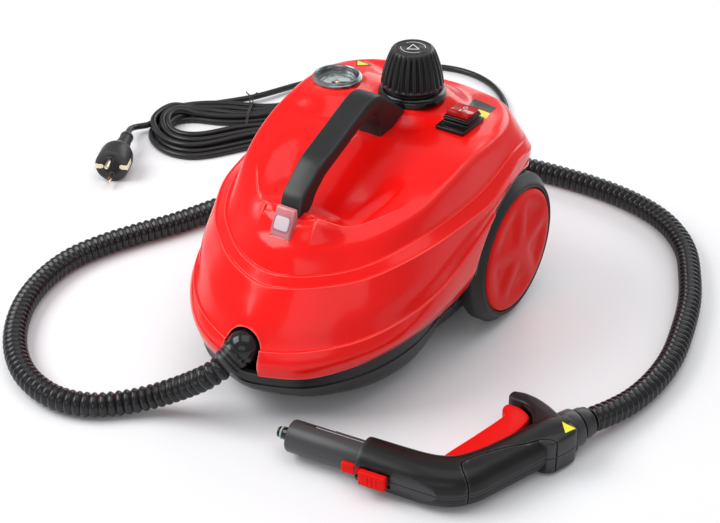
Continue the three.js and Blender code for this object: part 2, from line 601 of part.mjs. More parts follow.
// ---------------------------------------------------------------- front caster
const CASTER_WHEEL = { y: CASTER_Y + 7, z: 11, radius: 11 };
const fork = toSolid(rod([0, CASTER_Y, 25.4], [0, CASTER_Y, 29.4], 16, 28))
  .add(toSolid(rod([0, CASTER_Y, 29], [0, CASTER_Y, 38], 4, 20)))
  .add(toSolid(box(-9.4, -6.6, CASTER_Y - 3, CASTER_Y + 13, 7, 26)))
  .add(toSolid(box(6.6, 9.4, CASTER_Y - 3, CASTER_Y + 13, 7, 26)))
  .subtract(toSolid(rod([-20, CASTER_WHEEL.y, CASTER_WHEEL.z],
    [20, CASTER_WHEEL.y, CASTER_WHEEL.z], 2.3, 16)));
add('caster_fork', toGeometry(fork), BLACK_SATIN);
add('caster_wheel', turnedAboutX([[2.4, -6], [10, -6], [CASTER_WHEEL.radius, -4.5],
  [CASTER_WHEEL.radius, 4.5], [10, 6], [2.4, 6]], CASTER_WHEEL.y, CASTER_WHEEL.z, 32), RUBBER);
add('caster_pin', rod([-9.6, CASTER_WHEEL.y, CASTER_WHEEL.z],
  [9.6, CASTER_WHEEL.y, CASTER_WHEEL.z], 2, 16), STEEL);

// ---------------------------------------------------------------- hose outlet
const SOCKET_CENTRE = [0, -170, 71];
const SOCKET_RADIUS = 15.5;
const socketCentre = new THREE.Vector3(...SOCKET_CENTRE);
const hoseOut = new THREE.Vector3(-0.42, -0.7, -0.58).normalize();
const onHoseAxis = (distance) => socketCentre.clone().addScaledVector(hoseOut, distance)
  .toArray();
const HOSE_ROUTE = [onHoseAxis(21.3), onHoseAxis(28), [-20, -197, 47.5], [-32, -201, 38.5],
  [-48, -206, 28], [-67, -215, 18], [-88, -231, 12.4], [-113, -251, 11.8],
  [-145, -259.5, 11.8], [-184, -252, 11.8], [-218, -232, 11.8], [-248, -202, 11.8],
  [-273, -162, 11.8], [-287, -118, 11.8], [-289, -75, 11.8], [-279, -37, 11.8],
  [-261, 3, 11.8], [-244, 37, 11.8], [-228, 80, 11.8], [-209, 138, 11.8], [-180, 198, 11.8],
  [-143, 250, 11.8], [-99, 294, 11.8], [-48, 326, 11.8], [5, 342, 11.8], [53, 346, 11.8],
  [98, 345, 11.8], [138, 338, 11.8], [176, 323, 11.8], [204, 302, 11.8], [227, 275, 11.8],
  [247, 238, 11.8], [266, 194, 11.8], [281, 142, 11.8], [290, 98, 11.8], [292, 58, 11.8],
  [288, 20, 12.4], [281, -10, 15.5], [272, -37, 19]];
const ball = new THREE.SphereGeometry(SOCKET_RADIUS, 18, 12);
ball.translate(...SOCKET_CENTRE);
const PIPE_Z = 68.4;
const socket = toSolid(ball)
  .add(toSolid(rod([0, -148, PIPE_Z], SOCKET_CENTRE, 9, 20)))
  .subtract(toSolid(rod([0, -140, PIPE_Z], [0, -156, PIPE_Z], 4, 16)))
  .subtract(toSolid(rod(onHoseAxis(8), onHoseAxis(60), 40, 8)));
add('hose_socket', toGeometry(socket), BLACK_GLOSS);
const cuff = toSolid(rod(onHoseAxis(8.3), onHoseAxis(21), 12.6, 24, 12.2))
  .subtract(toSolid(rod(onHoseAxis(7), onHoseAxis(23), 7, 20)));
add('hose_cuff', toGeometry(cuff), BLACK_SATIN);
add('steam_hose', cord(HOSE_ROUTE, HOSE_DIAMETER, 68, 8), BLACK_GLOSS);

// ---------------------------------------------------------------- steam gun
// Gun layout: u along the barrel away from the nozzle, v across it towards the trigger,
// w up from the middle plane between the two halves.
const gun = new THREE.Group();
gun.position.set(...GUN_FRONT);
gun.rotation.z = GUN_ANGLE;
machine.add(gun);

const GUN_OUTLINE = [[70, -20], [104, -21.5], [136, -20.5], [158, -13], [172, 0], [181, 16],
  [196, 46], [213, 78], [224, 101], [200, 114], [187, 104], [177, 84], [166, 62], [154, 42],
  [142, 27], [126, 21], [100, 20], [70, 20]];
const HOOK_OUTLINE = [[212, 90], [219, 104], [196, 119], [194, 130], [175, 134], [157, 131],
  [150, 124], [152, 118], [168, 116.5], [182, 109], [186, 96]];
const TRIGGER_OUTLINE = [[137, 12], [145, 14], [150, 24], [161, 44], [172, 72], [177, 92],
  [178, 106], [166, 114.5], [152, 115.5], [150.5, 106], [157, 100], [152, 84], [143, 58],
  [135, 36], [131, 24]];
const TRIGGER_PIVOT = [141, 18];

const barrelRoom = toSolid(rod([60, 0, 0], [79, 0, 0], BARREL_RADIUS + GAP, 28));
const triggerRoom = toSolid(slab([[128, 6], [146, 6], [158, 26], [171, 50], [182, 72],
  [188, 100], [184, 116.5], [146, 116.5], [120, 40], [122, 16]], -8 - GAP, 8 + GAP));
const buttonRoom = toSolid(box(74.5, 106, -30, -16, -7.3, 7.3));
const catchRoom = toSolid(box(60, 80, -19, -13, -5.3, 5.3));
const collarStart = new THREE.Vector2(210.5, 114.5);
const gripAxis = new THREE.Vector2(0.488, 0.873).normalize();
const onGrip = (distance) => [collarStart.x + gripAxis.x * distance,
  collarStart.y + gripAxis.y * distance, 0];
const collarRoom = toSolid(rod(onGrip(-14), onGrip(10), 12 + GAP, 24));
const panelOutline = smoothOutline([[166, 4], [178, 22], [192, 50], [207, 78], [216, 97],
  [207, 103], [194, 100], [184, 82], [172, 58], [160, 36], [155, 18]], 33);
const panelRoom = toSolid(slab(offsetOutline(panelOutline, -GAP), 16.4, 30));

// The gun's body with its sides rounded off, made smaller all round by the inset.
function gunBody(inset) {
  const outline = inset > 0 ? offsetOutline(GUN_OUTLINE, inset) : GUN_OUTLINE;
  const shape = new THREE.Shape(outline.map(([a, b]) => new THREE.Vector2(a, b)));
  const flat = 6;
  const round = GUN_HALF_THICKNESS - flat - inset;
  const geometry = new THREE.ExtrudeGeometry(shape, {
    depth: 2 * flat, bevelSize: 9, bevelOffset: -9, bevelThickness: round, bevelSegments: 3,
  });
  geometry.translate(0, 0, -flat);
  return toSolid(geometry);
}

const GUN_WALL = 2.6;
const HOOK_HALF_THICKNESS = 12;
const gunSolid = gunBody(0)
  .add(toSolid(slab(HOOK_OUTLINE, -HOOK_HALF_THICKNESS, HOOK_HALF_THICKNESS, 3.5, 2)))
  .subtract(gunBody(GUN_WALL));

function gunHalf(up) {
  const half = gunSolid.intersect(toSolid(box(0, 300, -60, 200, up > 0 ? GAP / 2 : -40,
    up > 0 ? 40 : -GAP / 2)));
  const cleared = cut(half, barrelRoom, triggerRoom, buttonRoom, catchRoom, collarRoom,
    up > 0 ? panelRoom : panelRoom.mirror([0, 0, 1]));
  return cleared.decompose().reduce((a, b) => (b.volume() > a.volume() ? b : a));
}

add('gun_shell_upper', toGeometry(gunHalf(1)), BLACK_SATIN, gun);
add('gun_shell_lower', toGeometry(gunHalf(-1)), BLACK_SATIN, gun);
const panel = slab(panelOutline, 16.4 + GAP, 19.2, 0.8, 1);
add('gun_grip_panel_upper', panel, RUBBER, gun);
const lowerPanel = slab(panelOutline, 16.4 + GAP, 18.8, 0.8, 1);
add('gun_grip_panel_lower', toGeometry(toSolid(lowerPanel).mirror([0, 0, 1])), RUBBER, gun);
add('gun_barrel', turnedAboutX([[5 + GAP, 0], [12.6, 0], [BARREL_RADIUS, 1.6],
  [BARREL_RADIUS, 78], [5 + GAP, 78]], 0, 0, 28), BLACK_SATIN, gun);
add('gun_nozzle', turnedAboutX([[2, -12], [4.6, -12], [4.6, -9.4], [3.6, -9.4], [3.6, -7],
  [5, -7], [5, 12], [2, 12]], 0, 0, 20), BLACK_GLOSS, gun);
add('nozzle_seal', turnedAboutX([[3.9, -9], [5.6, -8.8], [5.6, -7.6], [3.9, -7.4]], 0, 0,
  24), LIGHT_SEAL, gun);
add('gun_trigger', slab(TRIGGER_OUTLINE, -8, 8, 1.2, 1), RED_PLASTIC, gun);
// The ribbed button, the bridge behind it and the catch on the barrel are one slide.
add('gun_lock_slide', toGeometry(toSolid(box(76, 101, -25, -21, -7, 7))
  .add(toSolid(box(79, 98, -22, -17, -6, 6)))
  .add(toSolid(box(66, 98, -18.2, -15.4, -4, 4)))
  .add(toSolid(box(57, 69.6, -18.4, -BARREL_RADIUS - GAP, -5, 5)))), RED_PLASTIC, gun);
add('gun_collar', toGeometry(toSolid(rod(onGrip(-13.5), onGrip(9), 12, 24))
  .add(toSolid(rod(onGrip(7), onGrip(20), 14, 24, 12.6)))
  .subtract(toSolid(rod(onGrip(-15), onGrip(23), 6, 20)))), BLACK_SATIN, gun);

// ---------------------------------------------------------------- mains lead
const LEAD_ROUTE = [[0, 216, 58], [0, 226, 56.8], [-1, 234, 53.6], [-4, 255, 43], [-9, 282, 32.5],
  [-16, 308, 28.4], [-24, 335, 27.6], [-34, 364, 21.5], [-47, 396, 10], [-63, 430, 4.2],
  [-84, 463, 3.8], [-108, 494, 3.8], [-138, 518, 3.8], [-174, 530, 3.8], [-210, 526, 3.8],
  [-243, 506, 3.8], [-272, 480, 3.8], [-297, 449, 3.8], [-317, 416, 4], [-331, 385, 5.5],
  [-340, 358, 8], [-347, 335, 10.4], [-350, 316, 12]];
const HANK_OUTLINE = [[-419, 222], [-411, 190], [-388, 167], [-355, 157], [-325, 166],
  [-302, 196], [-280, 236], [-256, 276], [-238, 304], [-236, 326], [-256, 338], [-290, 327],
  [-330, 308], [-372, 290], [-406, 264]];
const HANK_HOLE = [[-397, 224], [-389, 204], [-366, 196], [-348, 206], [-333, 228], [-318, 250],
  [-306, 266], [-318, 277], [-336, 262], [-356, 250], [-382, 241]];
const HANK_HEIGHT = [2.6, 25];
const TAIL_ROUTE = [[-419, 196, 8], [-423, 186, 8.6], [-422, 174, 11.6], [-416, 163, 15.6],
  [-409.5, 154, 18.4], [-404, 146, 19]];
const PLUG_AXIS = [0.44, -0.898];
const PLUG_START = [-403.2, 145, 19];
const onPlug = (d, up = 0) => [PLUG_START[0] + PLUG_AXIS[0] * d,
  PLUG_START[1] + PLUG_AXIS[1] * d, PLUG_START[2] + up];

const alongLead = (y) => [0, y, GLAND[2]];
add('mains_gland', toGeometry(cut(
  toSolid(rod(alongLead(187.6), alongLead(191), 10, 20))
    .add(toSolid(rod(alongLead(176), alongLead(188), 6.2, 20)))
    .add(toSolid(rod(alongLead(190.5), alongLead(215.4), 7.4, 20, 5))),
  toSolid(rod(alongLead(170), alongLead(189), 3.8, 16)),
)), RUBBER);
add('mains_lead', cord(LEAD_ROUTE, LEAD_DIAMETER, 50, 8), BLACK_GLOSS);

add('cord_hank', toGeometry(toSolid(slab(smoothOutline(HANK_OUTLINE, 33), ...HANK_HEIGHT, 5, 2))
  .subtract(toSolid(slab(smoothOutline(HANK_HOLE, 21), -5, 40)))), BLACK_GLOSS);

// The twist tie goes round the far side of the loop.
const tieGroup = new THREE.Group();
tieGroup.position.set(-334, 286, 0);
tieGroup.rotation.z = THREE.MathUtils.degToRad(27);
machine.add(tieGroup);
const tieBand = toSolid(box(-2, 2, -24, 26, 0.4, 27.2))
  .subtract(toSolid(box(-5, 5, -22.6, 24.6, 1.8, 25.8)));
add('cord_tie', toGeometry(tieBand), BLACK_SATIN, tieGroup);
add('lead_tail', cord(TAIL_ROUTE, LEAD_DIAMETER, 9, 8), BLACK_GLOSS);

const plugBody = toSolid(rod(onPlug(0.4), onPlug(34), 5, 20, 8))
  .add(toSolid(rod(onPlug(32), onPlug(46), 11, 28, 18.4)))
  .add(toSolid(rod(onPlug(45.5), onPlug(72), 18.8, 28)));
add('plug_body', toGeometry(cut(plugBody,
  toSolid(rod(onPlug(64, 9.5), onPlug(80, 9.5), 2.4 + GAP, 16)),
  toSolid(rod(onPlug(64, -9.5), onPlug(80, -9.5), 2.4 + GAP, 16)))), BLACK_SATIN);
add('plug_pin_a', rod(onPlug(64.4, 9.5), onPlug(91, 9.5), 2.4, 16), BRASS);
add('plug_pin_b', rod(onPlug(64.4, -9.5), onPlug(91, -9.5), 2.4, 16), BRASS);

// ---------------------------------------------------------------- whole object
machine.position.set(-ORIGIN_FROM_MACHINE[0], -ORIGIN_FROM_MACHINE[1], 0);
const whole = new THREE.Group();
whole.add(machine);
whole.updateMatrixWorld(true);

export default whole;
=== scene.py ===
"""Looks of a canister steam cleaner with its steam hose, steam gun and mains lead.

Lengths in the tables are millimetres in the machine's own layout: x = 0 is its middle
plane, its nose points to -Y and the floor is z = 0. at() turns them into the row frame.
"""
import json
import math

import bmesh
import bpy
import numpy as np
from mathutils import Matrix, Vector
from mathutils.bvhtree import BVHTree


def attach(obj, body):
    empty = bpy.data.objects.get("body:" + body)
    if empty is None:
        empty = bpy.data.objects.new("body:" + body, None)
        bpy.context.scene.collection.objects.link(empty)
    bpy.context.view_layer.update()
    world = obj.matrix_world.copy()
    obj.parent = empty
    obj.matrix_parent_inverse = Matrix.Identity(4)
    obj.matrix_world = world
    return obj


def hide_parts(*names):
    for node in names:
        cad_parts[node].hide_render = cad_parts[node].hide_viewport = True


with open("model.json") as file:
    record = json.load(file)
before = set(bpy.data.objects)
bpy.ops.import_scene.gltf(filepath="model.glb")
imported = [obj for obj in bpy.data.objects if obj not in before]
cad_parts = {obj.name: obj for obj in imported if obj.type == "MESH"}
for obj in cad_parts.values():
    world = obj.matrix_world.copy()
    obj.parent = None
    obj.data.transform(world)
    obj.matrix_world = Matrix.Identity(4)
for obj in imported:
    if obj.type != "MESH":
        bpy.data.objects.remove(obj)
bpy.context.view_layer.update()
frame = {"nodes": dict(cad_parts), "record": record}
NODES = frame["nodes"]

MM = 0.001
ORIGIN_FROM_MACHINE = np.array([76.7, 2.2, 0.0])
SHARP_ANGLE = math.radians(32)
UP = np.array([0, 0, 1.0])
LEAST_RADIUS = 1e-4
STICKER_CELLS = 10


# ---- geometry helpers
def at(points):
    """Machine millimetres to row frame metres."""
    return (np.asarray(points, float) - ORIGIN_FROM_MACHINE) * MM


def unit(vector):
    vector = np.asarray(vector, float)
    return vector / np.linalg.norm(vector)


def smooth(t):
    t = np.clip(t, 0.0, 1.0)
    return t * t * (3 - 2 * t)


def catmull(points, samples, closed=False):
    """Centripetal Catmull-Rom curve at `samples` even steps of its parameter, or at the
    parameters that `samples` lists."""
    p = np.asarray(points, float)
    count = len(p)
    if closed:
        steps = samples if np.ndim(samples) else np.arange(samples) / samples * count
        padded = np.vstack([p[-1], p, p[0], p[1]])
    else:
        steps = np.linspace(0, count - 1, samples)
        padded = np.vstack([2 * p[0] - p[1], p, 2 * p[-1] - p[-2]])
    last = count - 1 if closed else count - 2
    i = np.minimum(steps.astype(int), last)
    w = (steps - i)[:, None]
    a, b, c, d = (padded[i + k] for k in range(4))
    gap = [np.sqrt(np.linalg.norm(v - u, axis=1))[:, None] for u, v in ((a, b), (b, c), (c, d))]
    g0, g1, g2 = gap
    start = ((b - a) / g0 - (c - a) / (g0 + g1) + (c - b) / g1) * g1
    end = ((c - b) / g1 - (d - b) / (g1 + g2) + (d - c) / g2) * g1
    return (b + start * w + (-3 * b + 3 * c - 2 * start - end) * w ** 2
            + (2 * b - 2 * c + start + end) * w ** 3)


def spaced(points, step):
    """The polyline again with points about `step` apart."""
    p = np.asarray(points, float)
    run = np.r_[0, np.cumsum(np.linalg.norm(np.diff(p, axis=0), axis=1))]
    count = max(2, int(round(run[-1] / step)) + 1)
    want = np.linspace(0, run[-1], count)
    return np.stack([np.interp(want, run, p[:, k]) for k in range(p.shape[1])], 1)


def rounded(outline, radius, steps=4):
    """The closed outline with each corner turned into a bend of about that radius."""
    p = np.asarray(outline, float)
    t = np.linspace(0, 1, steps + 1)[:, None]
    out = []
    for before, here, after in zip(np.roll(p, 1, 0), p, np.roll(p, -1, 0)):
        reach = min(radius, 0.45 * np.linalg.norm(before - here),
                    0.45 * np.linalg.norm(after - here))
        start, end = here + reach * unit(before - here), here + reach * unit(after - here)
        out.extend((1 - t) ** 2 * start + 2 * t * (1 - t) * here + t ** 2 * end)
    return np.array(out)


def rect(x0, y0, x1, y1):
    return [[x0, y0], [x1, y0], [x1, y1], [x0, y1]]


def placer(origin, *axes):
    """A function that takes local points to machine millimetres, by their three axes."""
    return lambda points: origin + np.asarray(points, float) @ np.array(axes, float)


def spun(origin, degrees):
    """A placer that turns points about the vertical."""
    c, s = math.cos(math.radians(degrees)), math.sin(math.radians(degrees))
    return placer(origin, [c, s, 0], [-s, c, 0], UP)


def piece(name, points, faces, material, body="machine", sharp=SHARP_ANGLE):
    """A mesh piece that rides on a body and carries its material. Points are in machine
    millimetres. A cutting tool has neither body nor material."""
    mesh = bpy.data.meshes.new(name)
    mesh.from_pydata(at(points).tolist(), [], [[int(i) for i in f] for f in faces])
    mesh.validate()
    bm = bmesh.new()
    bm.from_mesh(mesh)
    bmesh.ops.recalc_face_normals(bm, faces=bm.faces)
    bm.to_mesh(mesh)
    bm.free()
    obj = bpy.data.objects.new(name, mesh)
    bpy.context.scene.collection.objects.link(obj)
    if material is not None:
        mesh.materials.append(material)
    shade(obj, sharp)
    if body:
        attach(obj, body)
    return obj


def shade(obj, sharp=SHARP_ANGLE):
    obj.data.shade_smooth()
    obj.data.set_sharp_from_angle(angle=sharp)


def carve(obj, tools, operation="DIFFERENCE"):
    """Cuts or joins obj by each tool and removes the tools."""
    for tool in tools:
        mod = obj.modifiers.new("carve", "BOOLEAN")
        mod.operation = operation
        mod.solver = "MANIFOLD"
        mod.object = tool
    settle(obj)
    for tool in tools:
        bpy.data.objects.remove(tool)
    return obj


def joined(*parts):
    """Joins several small parts of one material into the first of them."""
    bm = bmesh.new()
    for part in parts:
        bm.from_mesh(part.data)
    bm.to_mesh(parts[0].data)
    bm.free()
    for part in parts[1:]:
        bpy.data.objects.remove(part)
    shade(parts[0])
    return parts[0]


def settle(obj):
    """Applies obj's modifiers to its mesh."""
    bpy.context.view_layer.update()
    graph = bpy.context.evaluated_depsgraph_get()
    mesh = bpy.data.meshes.new_from_object(obj.evaluated_get(graph))
    obj.modifiers.clear()
    old = obj.data
    obj.data = mesh
    bpy.data.meshes.remove(old)
    shade(obj)


def grid_faces(rows, columns, wrap_rows=False):
    """Four-sided faces over rows of points, each row closed."""
    faces = []
    for r in range(rows if wrap_rows else rows - 1):
        for c in range(columns):
            r1, c1 = (r + 1) % rows, (c + 1) % columns
            faces.append((r * columns + c, r * columns + c1, r1 * columns + c1, r1 * columns + c))
    return faces


def thick(top, low, faces):
    """Points and faces of a closed plate: the faces on top, below, and a rim between."""
    n = len(top)
    edges = {(a, b) for f in faces for a, b in zip(f, f[1:] + f[:1])}
    rim = sorted((a, b) for a, b in edges if (b, a) not in edges)
    return [*top, *low], [*faces, *(tuple(k + n for k in f[::-1]) for f in faces),
                          *((b, a, a + n, b + n) for a, b in rim)]


def lofted(name, rings, material, body="machine", loop=False, **kw):
    """A skin over closed rings of points, with capped ends or closed into a loop."""
    count = len(rings[0])
    points = list(np.vstack(rings))
    faces = grid_faces(len(rings), count, wrap_rows=loop)
    if not loop:
        for ring, base, turn in ((rings[0], 0, -1), (rings[-1], (len(rings) - 1) * count, 1)):
            points.append(ring.mean(0))
            middle = len(points) - 1
            for c in range(count):
                faces.append((middle, base + c, base + (c + 1) % count)[::turn])
    return piece(name, points, faces, material, body, **kw)


def basis(axis):
    a = unit(axis)
    side = np.cross(a, UP)
    side = unit(side) if np.linalg.norm(side) > 1e-6 else np.array([1.0, 0, 0])
    return a, side, np.cross(a, side)


def turned(name, profile, origin, axis, material, body="machine", sides=96, loop=False,
           wave=None, **kw):
    """A solid of revolution: the profile holds [radius, distance along the axis] pairs.

    wave(angle, radius, distance) gives the offset added along the axis.
    """
    a, e1, e2 = basis(axis)
    angle = np.linspace(0, 2 * np.pi, sides, endpoint=False)
    circle = np.outer(np.cos(angle), e1) + np.outer(np.sin(angle), e2)
    rings = []
    for radius, along in profile:
        lift = along if wave is None else along + wave(angle, radius, along)
        rings.append(np.asarray(origin, float) + np.outer(lift, a)
                     + max(radius, LEAST_RADIUS) * circle)
    return lofted(name, rings, material, body, loop=loop, **kw)


def bevelled(name, bm, edges, bevel, segments, place, material, body, **kw):
    """A piece from a bmesh, its edges bevelled, then moved by `place`."""
    if bevel:
        bmesh.ops.bevel(bm, geom=edges, offset=bevel, segments=segments, profile=0.5,
                        affect="EDGES", clamp_overlap=True)
    points = np.array([v.co[:] for v in bm.verts])
    bm.verts.index_update()
    faces = [[v.index for v in f.verts] for f in bm.faces]
    bm.free()
    return piece(name, place(points) if place else points, faces, material, body, **kw)


def slab(name, outline, low, high, material, body="machine", bevel=0.0, segments=3,
         place=None, **kw):
    """A flat outline pushed up from low to high, with its flat sides' edges rounded."""
    bm = bmesh.new()
    face = bm.faces.new([bm.verts.new((a, b, low)) for a, b in outline])
    pushed = bmesh.ops.extrude_face_region(bm, geom=[face])
    tops = [g for g in pushed["geom"] if isinstance(g, bmesh.types.BMVert)]
    bmesh.ops.translate(bm, vec=(0, 0, high - low), verts=tops)
    bmesh.ops.recalc_face_normals(bm, faces=bm.faces)
    flat = [e for e in bm.edges if abs(e.verts[0].co.z - e.verts[1].co.z) < 1e-6]
    return bevelled(name, bm, flat, bevel, segments, place, material, body, **kw)


def block(name, low, high, material, body="machine", bevel=0.6, segments=3, place=None, **kw):
    """A box between two corners with rounded edges."""
    bm = bmesh.new()
    bmesh.ops.create_cube(bm, size=1)
    low, high = np.array(low, float), np.array(high, float)
    for v in bm.verts:
        v.co = Vector((low + high) / 2 + np.array(v.co) * (high - low))
    return bevelled(name, bm, list(bm.edges), bevel, segments, place, material, body, **kw)


def box_tool(low, high, place=None, bevel=0):
    return block("tool", low, high, None, None, bevel, place=place)


def tube(name, path, radius_of, material, body="machine", sides=20):
    """A round tube along a polyline, its radius given for each point, without twist."""
    p = np.asarray(path, float)
    tangent = np.gradient(p, axis=0)
    tangent /= np.linalg.norm(tangent, axis=1)[:, None]
    _, side, _ = basis(tangent[0])
    angle = np.linspace(0, 2 * np.pi, sides, endpoint=False)
    rings = []
    for here, along, radius in zip(p, tangent, np.broadcast_to(radius_of, len(p))):
        side = unit(side - along * side.dot(along))
        up = np.cross(along, side)
        rings.append(here + radius * (np.outer(np.cos(angle), side) + np.outer(np.sin(angle), up)))
    return lofted(name, rings, material, body)


# Side outline coordinates (a, b, c) become y, z, x.
yz_place = placer(np.zeros(3), [0, 1, 0], [0, 0, 1], [1, 0, 0])


# ---- materials
HIGHLIGHT_START, HIGHLIGHT_FULL = 0.506, 0.56  # pointiness over which a convex edge takes its painted highlight colour
GRAIN_HEIGHT = 0.0005
BY_SLOT = {}  # the first finish made for a slot, which its CAD nodes get


def finish(name, slot, colour, roughness, mottle=0.05, smudge=0.05, grain=1500,
           grain_depth=0.03, metallic=0.0, mottle_scale=30.0, smudge_scale=60.0, coat=0.0,
           coat_roughness=0.05, transmission=0.0, ior=1.45, specular=0.5, stretch=None,
           edge_highlight=None):
    """A moulded or metal finish with colour variation, smudges, fine surface grain and, if given, a
    painted highlight colour on its convex edges.
    """
    material = bpy.data.materials.new(name)
    material.use_nodes = True
    BY_SLOT.setdefault(slot, material)
    tree = material.node_tree

    def fill(node, inputs):
        for key, value in inputs.items():
            if isinstance(value, bpy.types.NodeSocket):
                tree.links.new(value, node.inputs[key])
            else:
                node.inputs[key].default_value = value

    def add(kind, output, inputs):
        """Adds a node with these inputs and gives back one of its outputs."""
        node = tree.nodes.new("ShaderNode" + kind)
        if kind == "Mix":
            node.data_type = "RGBA"
        fill(node, inputs)
        return node.outputs[output]

    place = add("TexCoord", "Object", {})
    if stretch:
        place = add("Mapping", "Vector", {"Vector": place, "Scale": stretch})

    def noise(scale, detail):
        return add("TexNoise", "Fac", {"Scale": scale, "Detail": detail, "Vector": place})

    dark = [c * (1 - mottle) for c in colour]
    light = [min(1.0, c * (1 + mottle) + 0.002) for c in colour]
    surface = add("Mix", "Result", {"Factor": noise(mottle_scale, 4.0), "A": (*dark, 1),
                                    "B": (*light, 1)})
    # Convex edges, found by pointiness, get a painted highlight: the lighter edge colour mixed over
    # the surface colour.
    if edge_highlight:
        edges = add("MapRange", "Result", {"From Min": HIGHLIGHT_START, "From Max": HIGHLIGHT_FULL,
                                           "Value": add("NewGeometry", "Pointiness", {})})
        surface = add("Mix", "Result", {"Factor": edges, "A": surface, "B": (*edge_highlight, 1)})
    rough = add("MapRange", "Result", {"To Min": max(0.02, roughness - smudge),
                                       "To Max": min(1.0, roughness + smudge),
                                       "Value": noise(smudge_scale, 6.0)})
    bump = add("Bump", "Normal", {"Strength": grain_depth, "Distance": GRAIN_HEIGHT,
                                  "Height": noise(grain, 2.0)})
    fill(tree.nodes["Principled BSDF"], {
        "Base Color": surface, "Roughness": rough, "Normal": bump, "Metallic": metallic,
        "Coat Weight": coat, "Coat Roughness": coat_roughness, "IOR": ior,
        "Transmission Weight": transmission, "Specular IOR Level": specular})
    return material


# After the colour: roughness, mottle, smudge, grain size and grain depth.
# The red shell's edge colour is a painted highlight: pale pink along its convex edges and crease
# lines.
RED_GLOSS = finish("red_gloss_shell", "red_gloss", (0.88, 0.0045, 0.003), 0.2, 0.05, 0.03, 420,
                   0.008, coat=0.2, coat_roughness=0.08, specular=0.26,
                   edge_highlight=(0.95, 0.16, 0.13))
RED_SATIN = finish("red_satin_plastic", "red_plastic", (0.76, 0.006, 0.004), 0.36, 0.07, 0.06,
                   1800, 0.04, specular=0.1)
RED_ROCKER = finish("red_rocker_plastic", "red_plastic", (0.42, 0.008, 0.007), 0.14, 0.1, 0.04,
                    coat=0.4)
# Black satin's edge colour is a painted highlight: a lighter grey along convex edges.
BLACK_SATIN = finish("black_satin_plastic", "black_satin", (0.006, 0.006, 0.0064), 0.34, 0.14,
                     0.07, 2200, 0.05, specular=0.34, edge_highlight=(0.05, 0.05, 0.052))
BLACK_GLOSS = finish("black_gloss_plastic", "black_gloss", (0.006, 0.006, 0.0065), 0.16, 0.1,
                     0.05, 900, 0.02)
HOSE_BLACK = finish("black_hose_plastic", "black_gloss", (0.008, 0.008, 0.009), 0.22, 0.2, 0.1,
                    1400, 0.12, smudge_scale=220.0)
RUBBER = finish("black_rubber", "rubber", (0.018, 0.017, 0.017), 0.62, 0.16, 0.1, 1600, 0.12)
CORD_BLACK = finish("black_cord_jacket", "rubber", (0.010, 0.010, 0.0105), 0.34, 0.15, 0.08,
                    1600, 0.06)
TYRE_RUBBER = finish("tyre_rubber", "tyre_rubber", (0.014, 0.0125, 0.0125), 0.48, 0.2, 0.12,
                     900, 0.14)
CHROME = finish("satin_chrome", "chrome", (0.34, 0.35, 0.36), 0.24, 0.08, 0.08, 1600, 0.03, 1.0)
GUNMETAL = finish("dark_metal", "chrome", (0.16, 0.165, 0.17), 0.3, 0.1, 0.08, 1200, 0.05, 1.0)
finish("brushed_steel", "steel", (0.52, 0.53, 0.54), 0.34, 0.12, 0.1, 700, 0.06, 1.0,
       stretch=(1.0, 1.0, 8.0))
BRASS = finish("turned_brass", "brass", (0.80, 0.56, 0.24), 0.27, 0.12, 0.1, 1200, 0.05, 1.0)
PALE_BRASS = finish("plated_pin", "brass", (0.80, 0.70, 0.50), 0.24, 0.1, 0.08, 1200, 0.04, 1.0)
CLEAR_PINK = finish("clear_pink_lens", "clear_lens", (0.95, 0.34, 0.37), 0.10, 0.04, 0.04, 500,
                    0.02, transmission=0.5, ior=1.49)
LENS_SASH = finish("lens_sash", "clear_lens", (0.36, 0.14, 0.18), 0.2, 0.08, coat=0.3)
LAMP_GLOW = finish("lamp_diffuser", "clear_lens", (0.62, 0.50, 0.54), 0.4, 0.04)
GLASS = finish("gauge_window", "gauge_glass", (0.96, 0.98, 0.97), 0.03, 0.01, 0.01, 200, 0.005,
               transmission=1.0)
finish("terminal_ceramic", "dial", (0.74, 0.74, 0.70), 0.5, 0.06, grain_depth=0.06)
DIAL_WHITE = finish("dial_white", "dial", (0.93, 0.97, 0.95), 0.5, 0.04)
DIAL_GREEN = finish("dial_green", "dial", (0.10, 0.36, 0.24), 0.5, 0.08)
DIAL_BLACK = finish("dial_black", "black_satin", (0.012, 0.014, 0.014), 0.5, 0.1)
# Pale grey for the gun barrel's slot: a painted highlight for the light the groove catches.
SLOT_HIGHLIGHT_GREY = finish("painted_slot_highlight", "black_satin", (0.34, 0.34, 0.35), 0.4, 0.08)
LABEL_YELLOW = finish("label_yellow", "black_satin", (0.90, 0.74, 0.01), 0.35, 0.05, 0.06)
LABEL_BLACK = finish("label_black", "black_satin", (0.012, 0.012, 0.012), 0.35, 0.1, 0.06)
MARK_WHITE = finish("printed_mark", "dial", (0.72, 0.76, 0.74), 0.5, 0.06)
SEAL_GREEN = finish("pale_seal", "seal", (0.34, 0.48, 0.40), 0.5, 0.12, grain_depth=0.08)
STUDIO_FLOOR = finish("studio_floor", None, (0.86, 0.86, 0.87), 0.55, 0.01, 0.05,
                      grain_depth=0.0, mottle_scale=3.0)


# ---- camera, lights and floor
def look_at(obj, target):
    ahead = Vector(target) - obj.location
    obj.rotation_euler = ahead.to_track_quat("-Z", "Y").to_euler()


camera = bpy.data.objects.new("camera", bpy.data.cameras.new("camera"))
camera.location = (0.6345, -1.0722, 0.8886)
camera.data.lens = 80.56
camera.data.sensor_width = 36
look_at(camera, (-0.04261, -0.03945, 0.100))
bpy.context.scene.collection.objects.link(camera)
bpy.context.scene.camera = camera


def softbox(name, location, target, size, watts):
    light = bpy.data.lights.new(name, "AREA")
    light.shape = "RECTANGLE"
    light.size, light.size_y = size
    light.energy = watts
    obj = bpy.data.objects.new(name, light)
    obj.location = location
    look_at(obj, target)
    bpy.context.scene.collection.objects.link(obj)


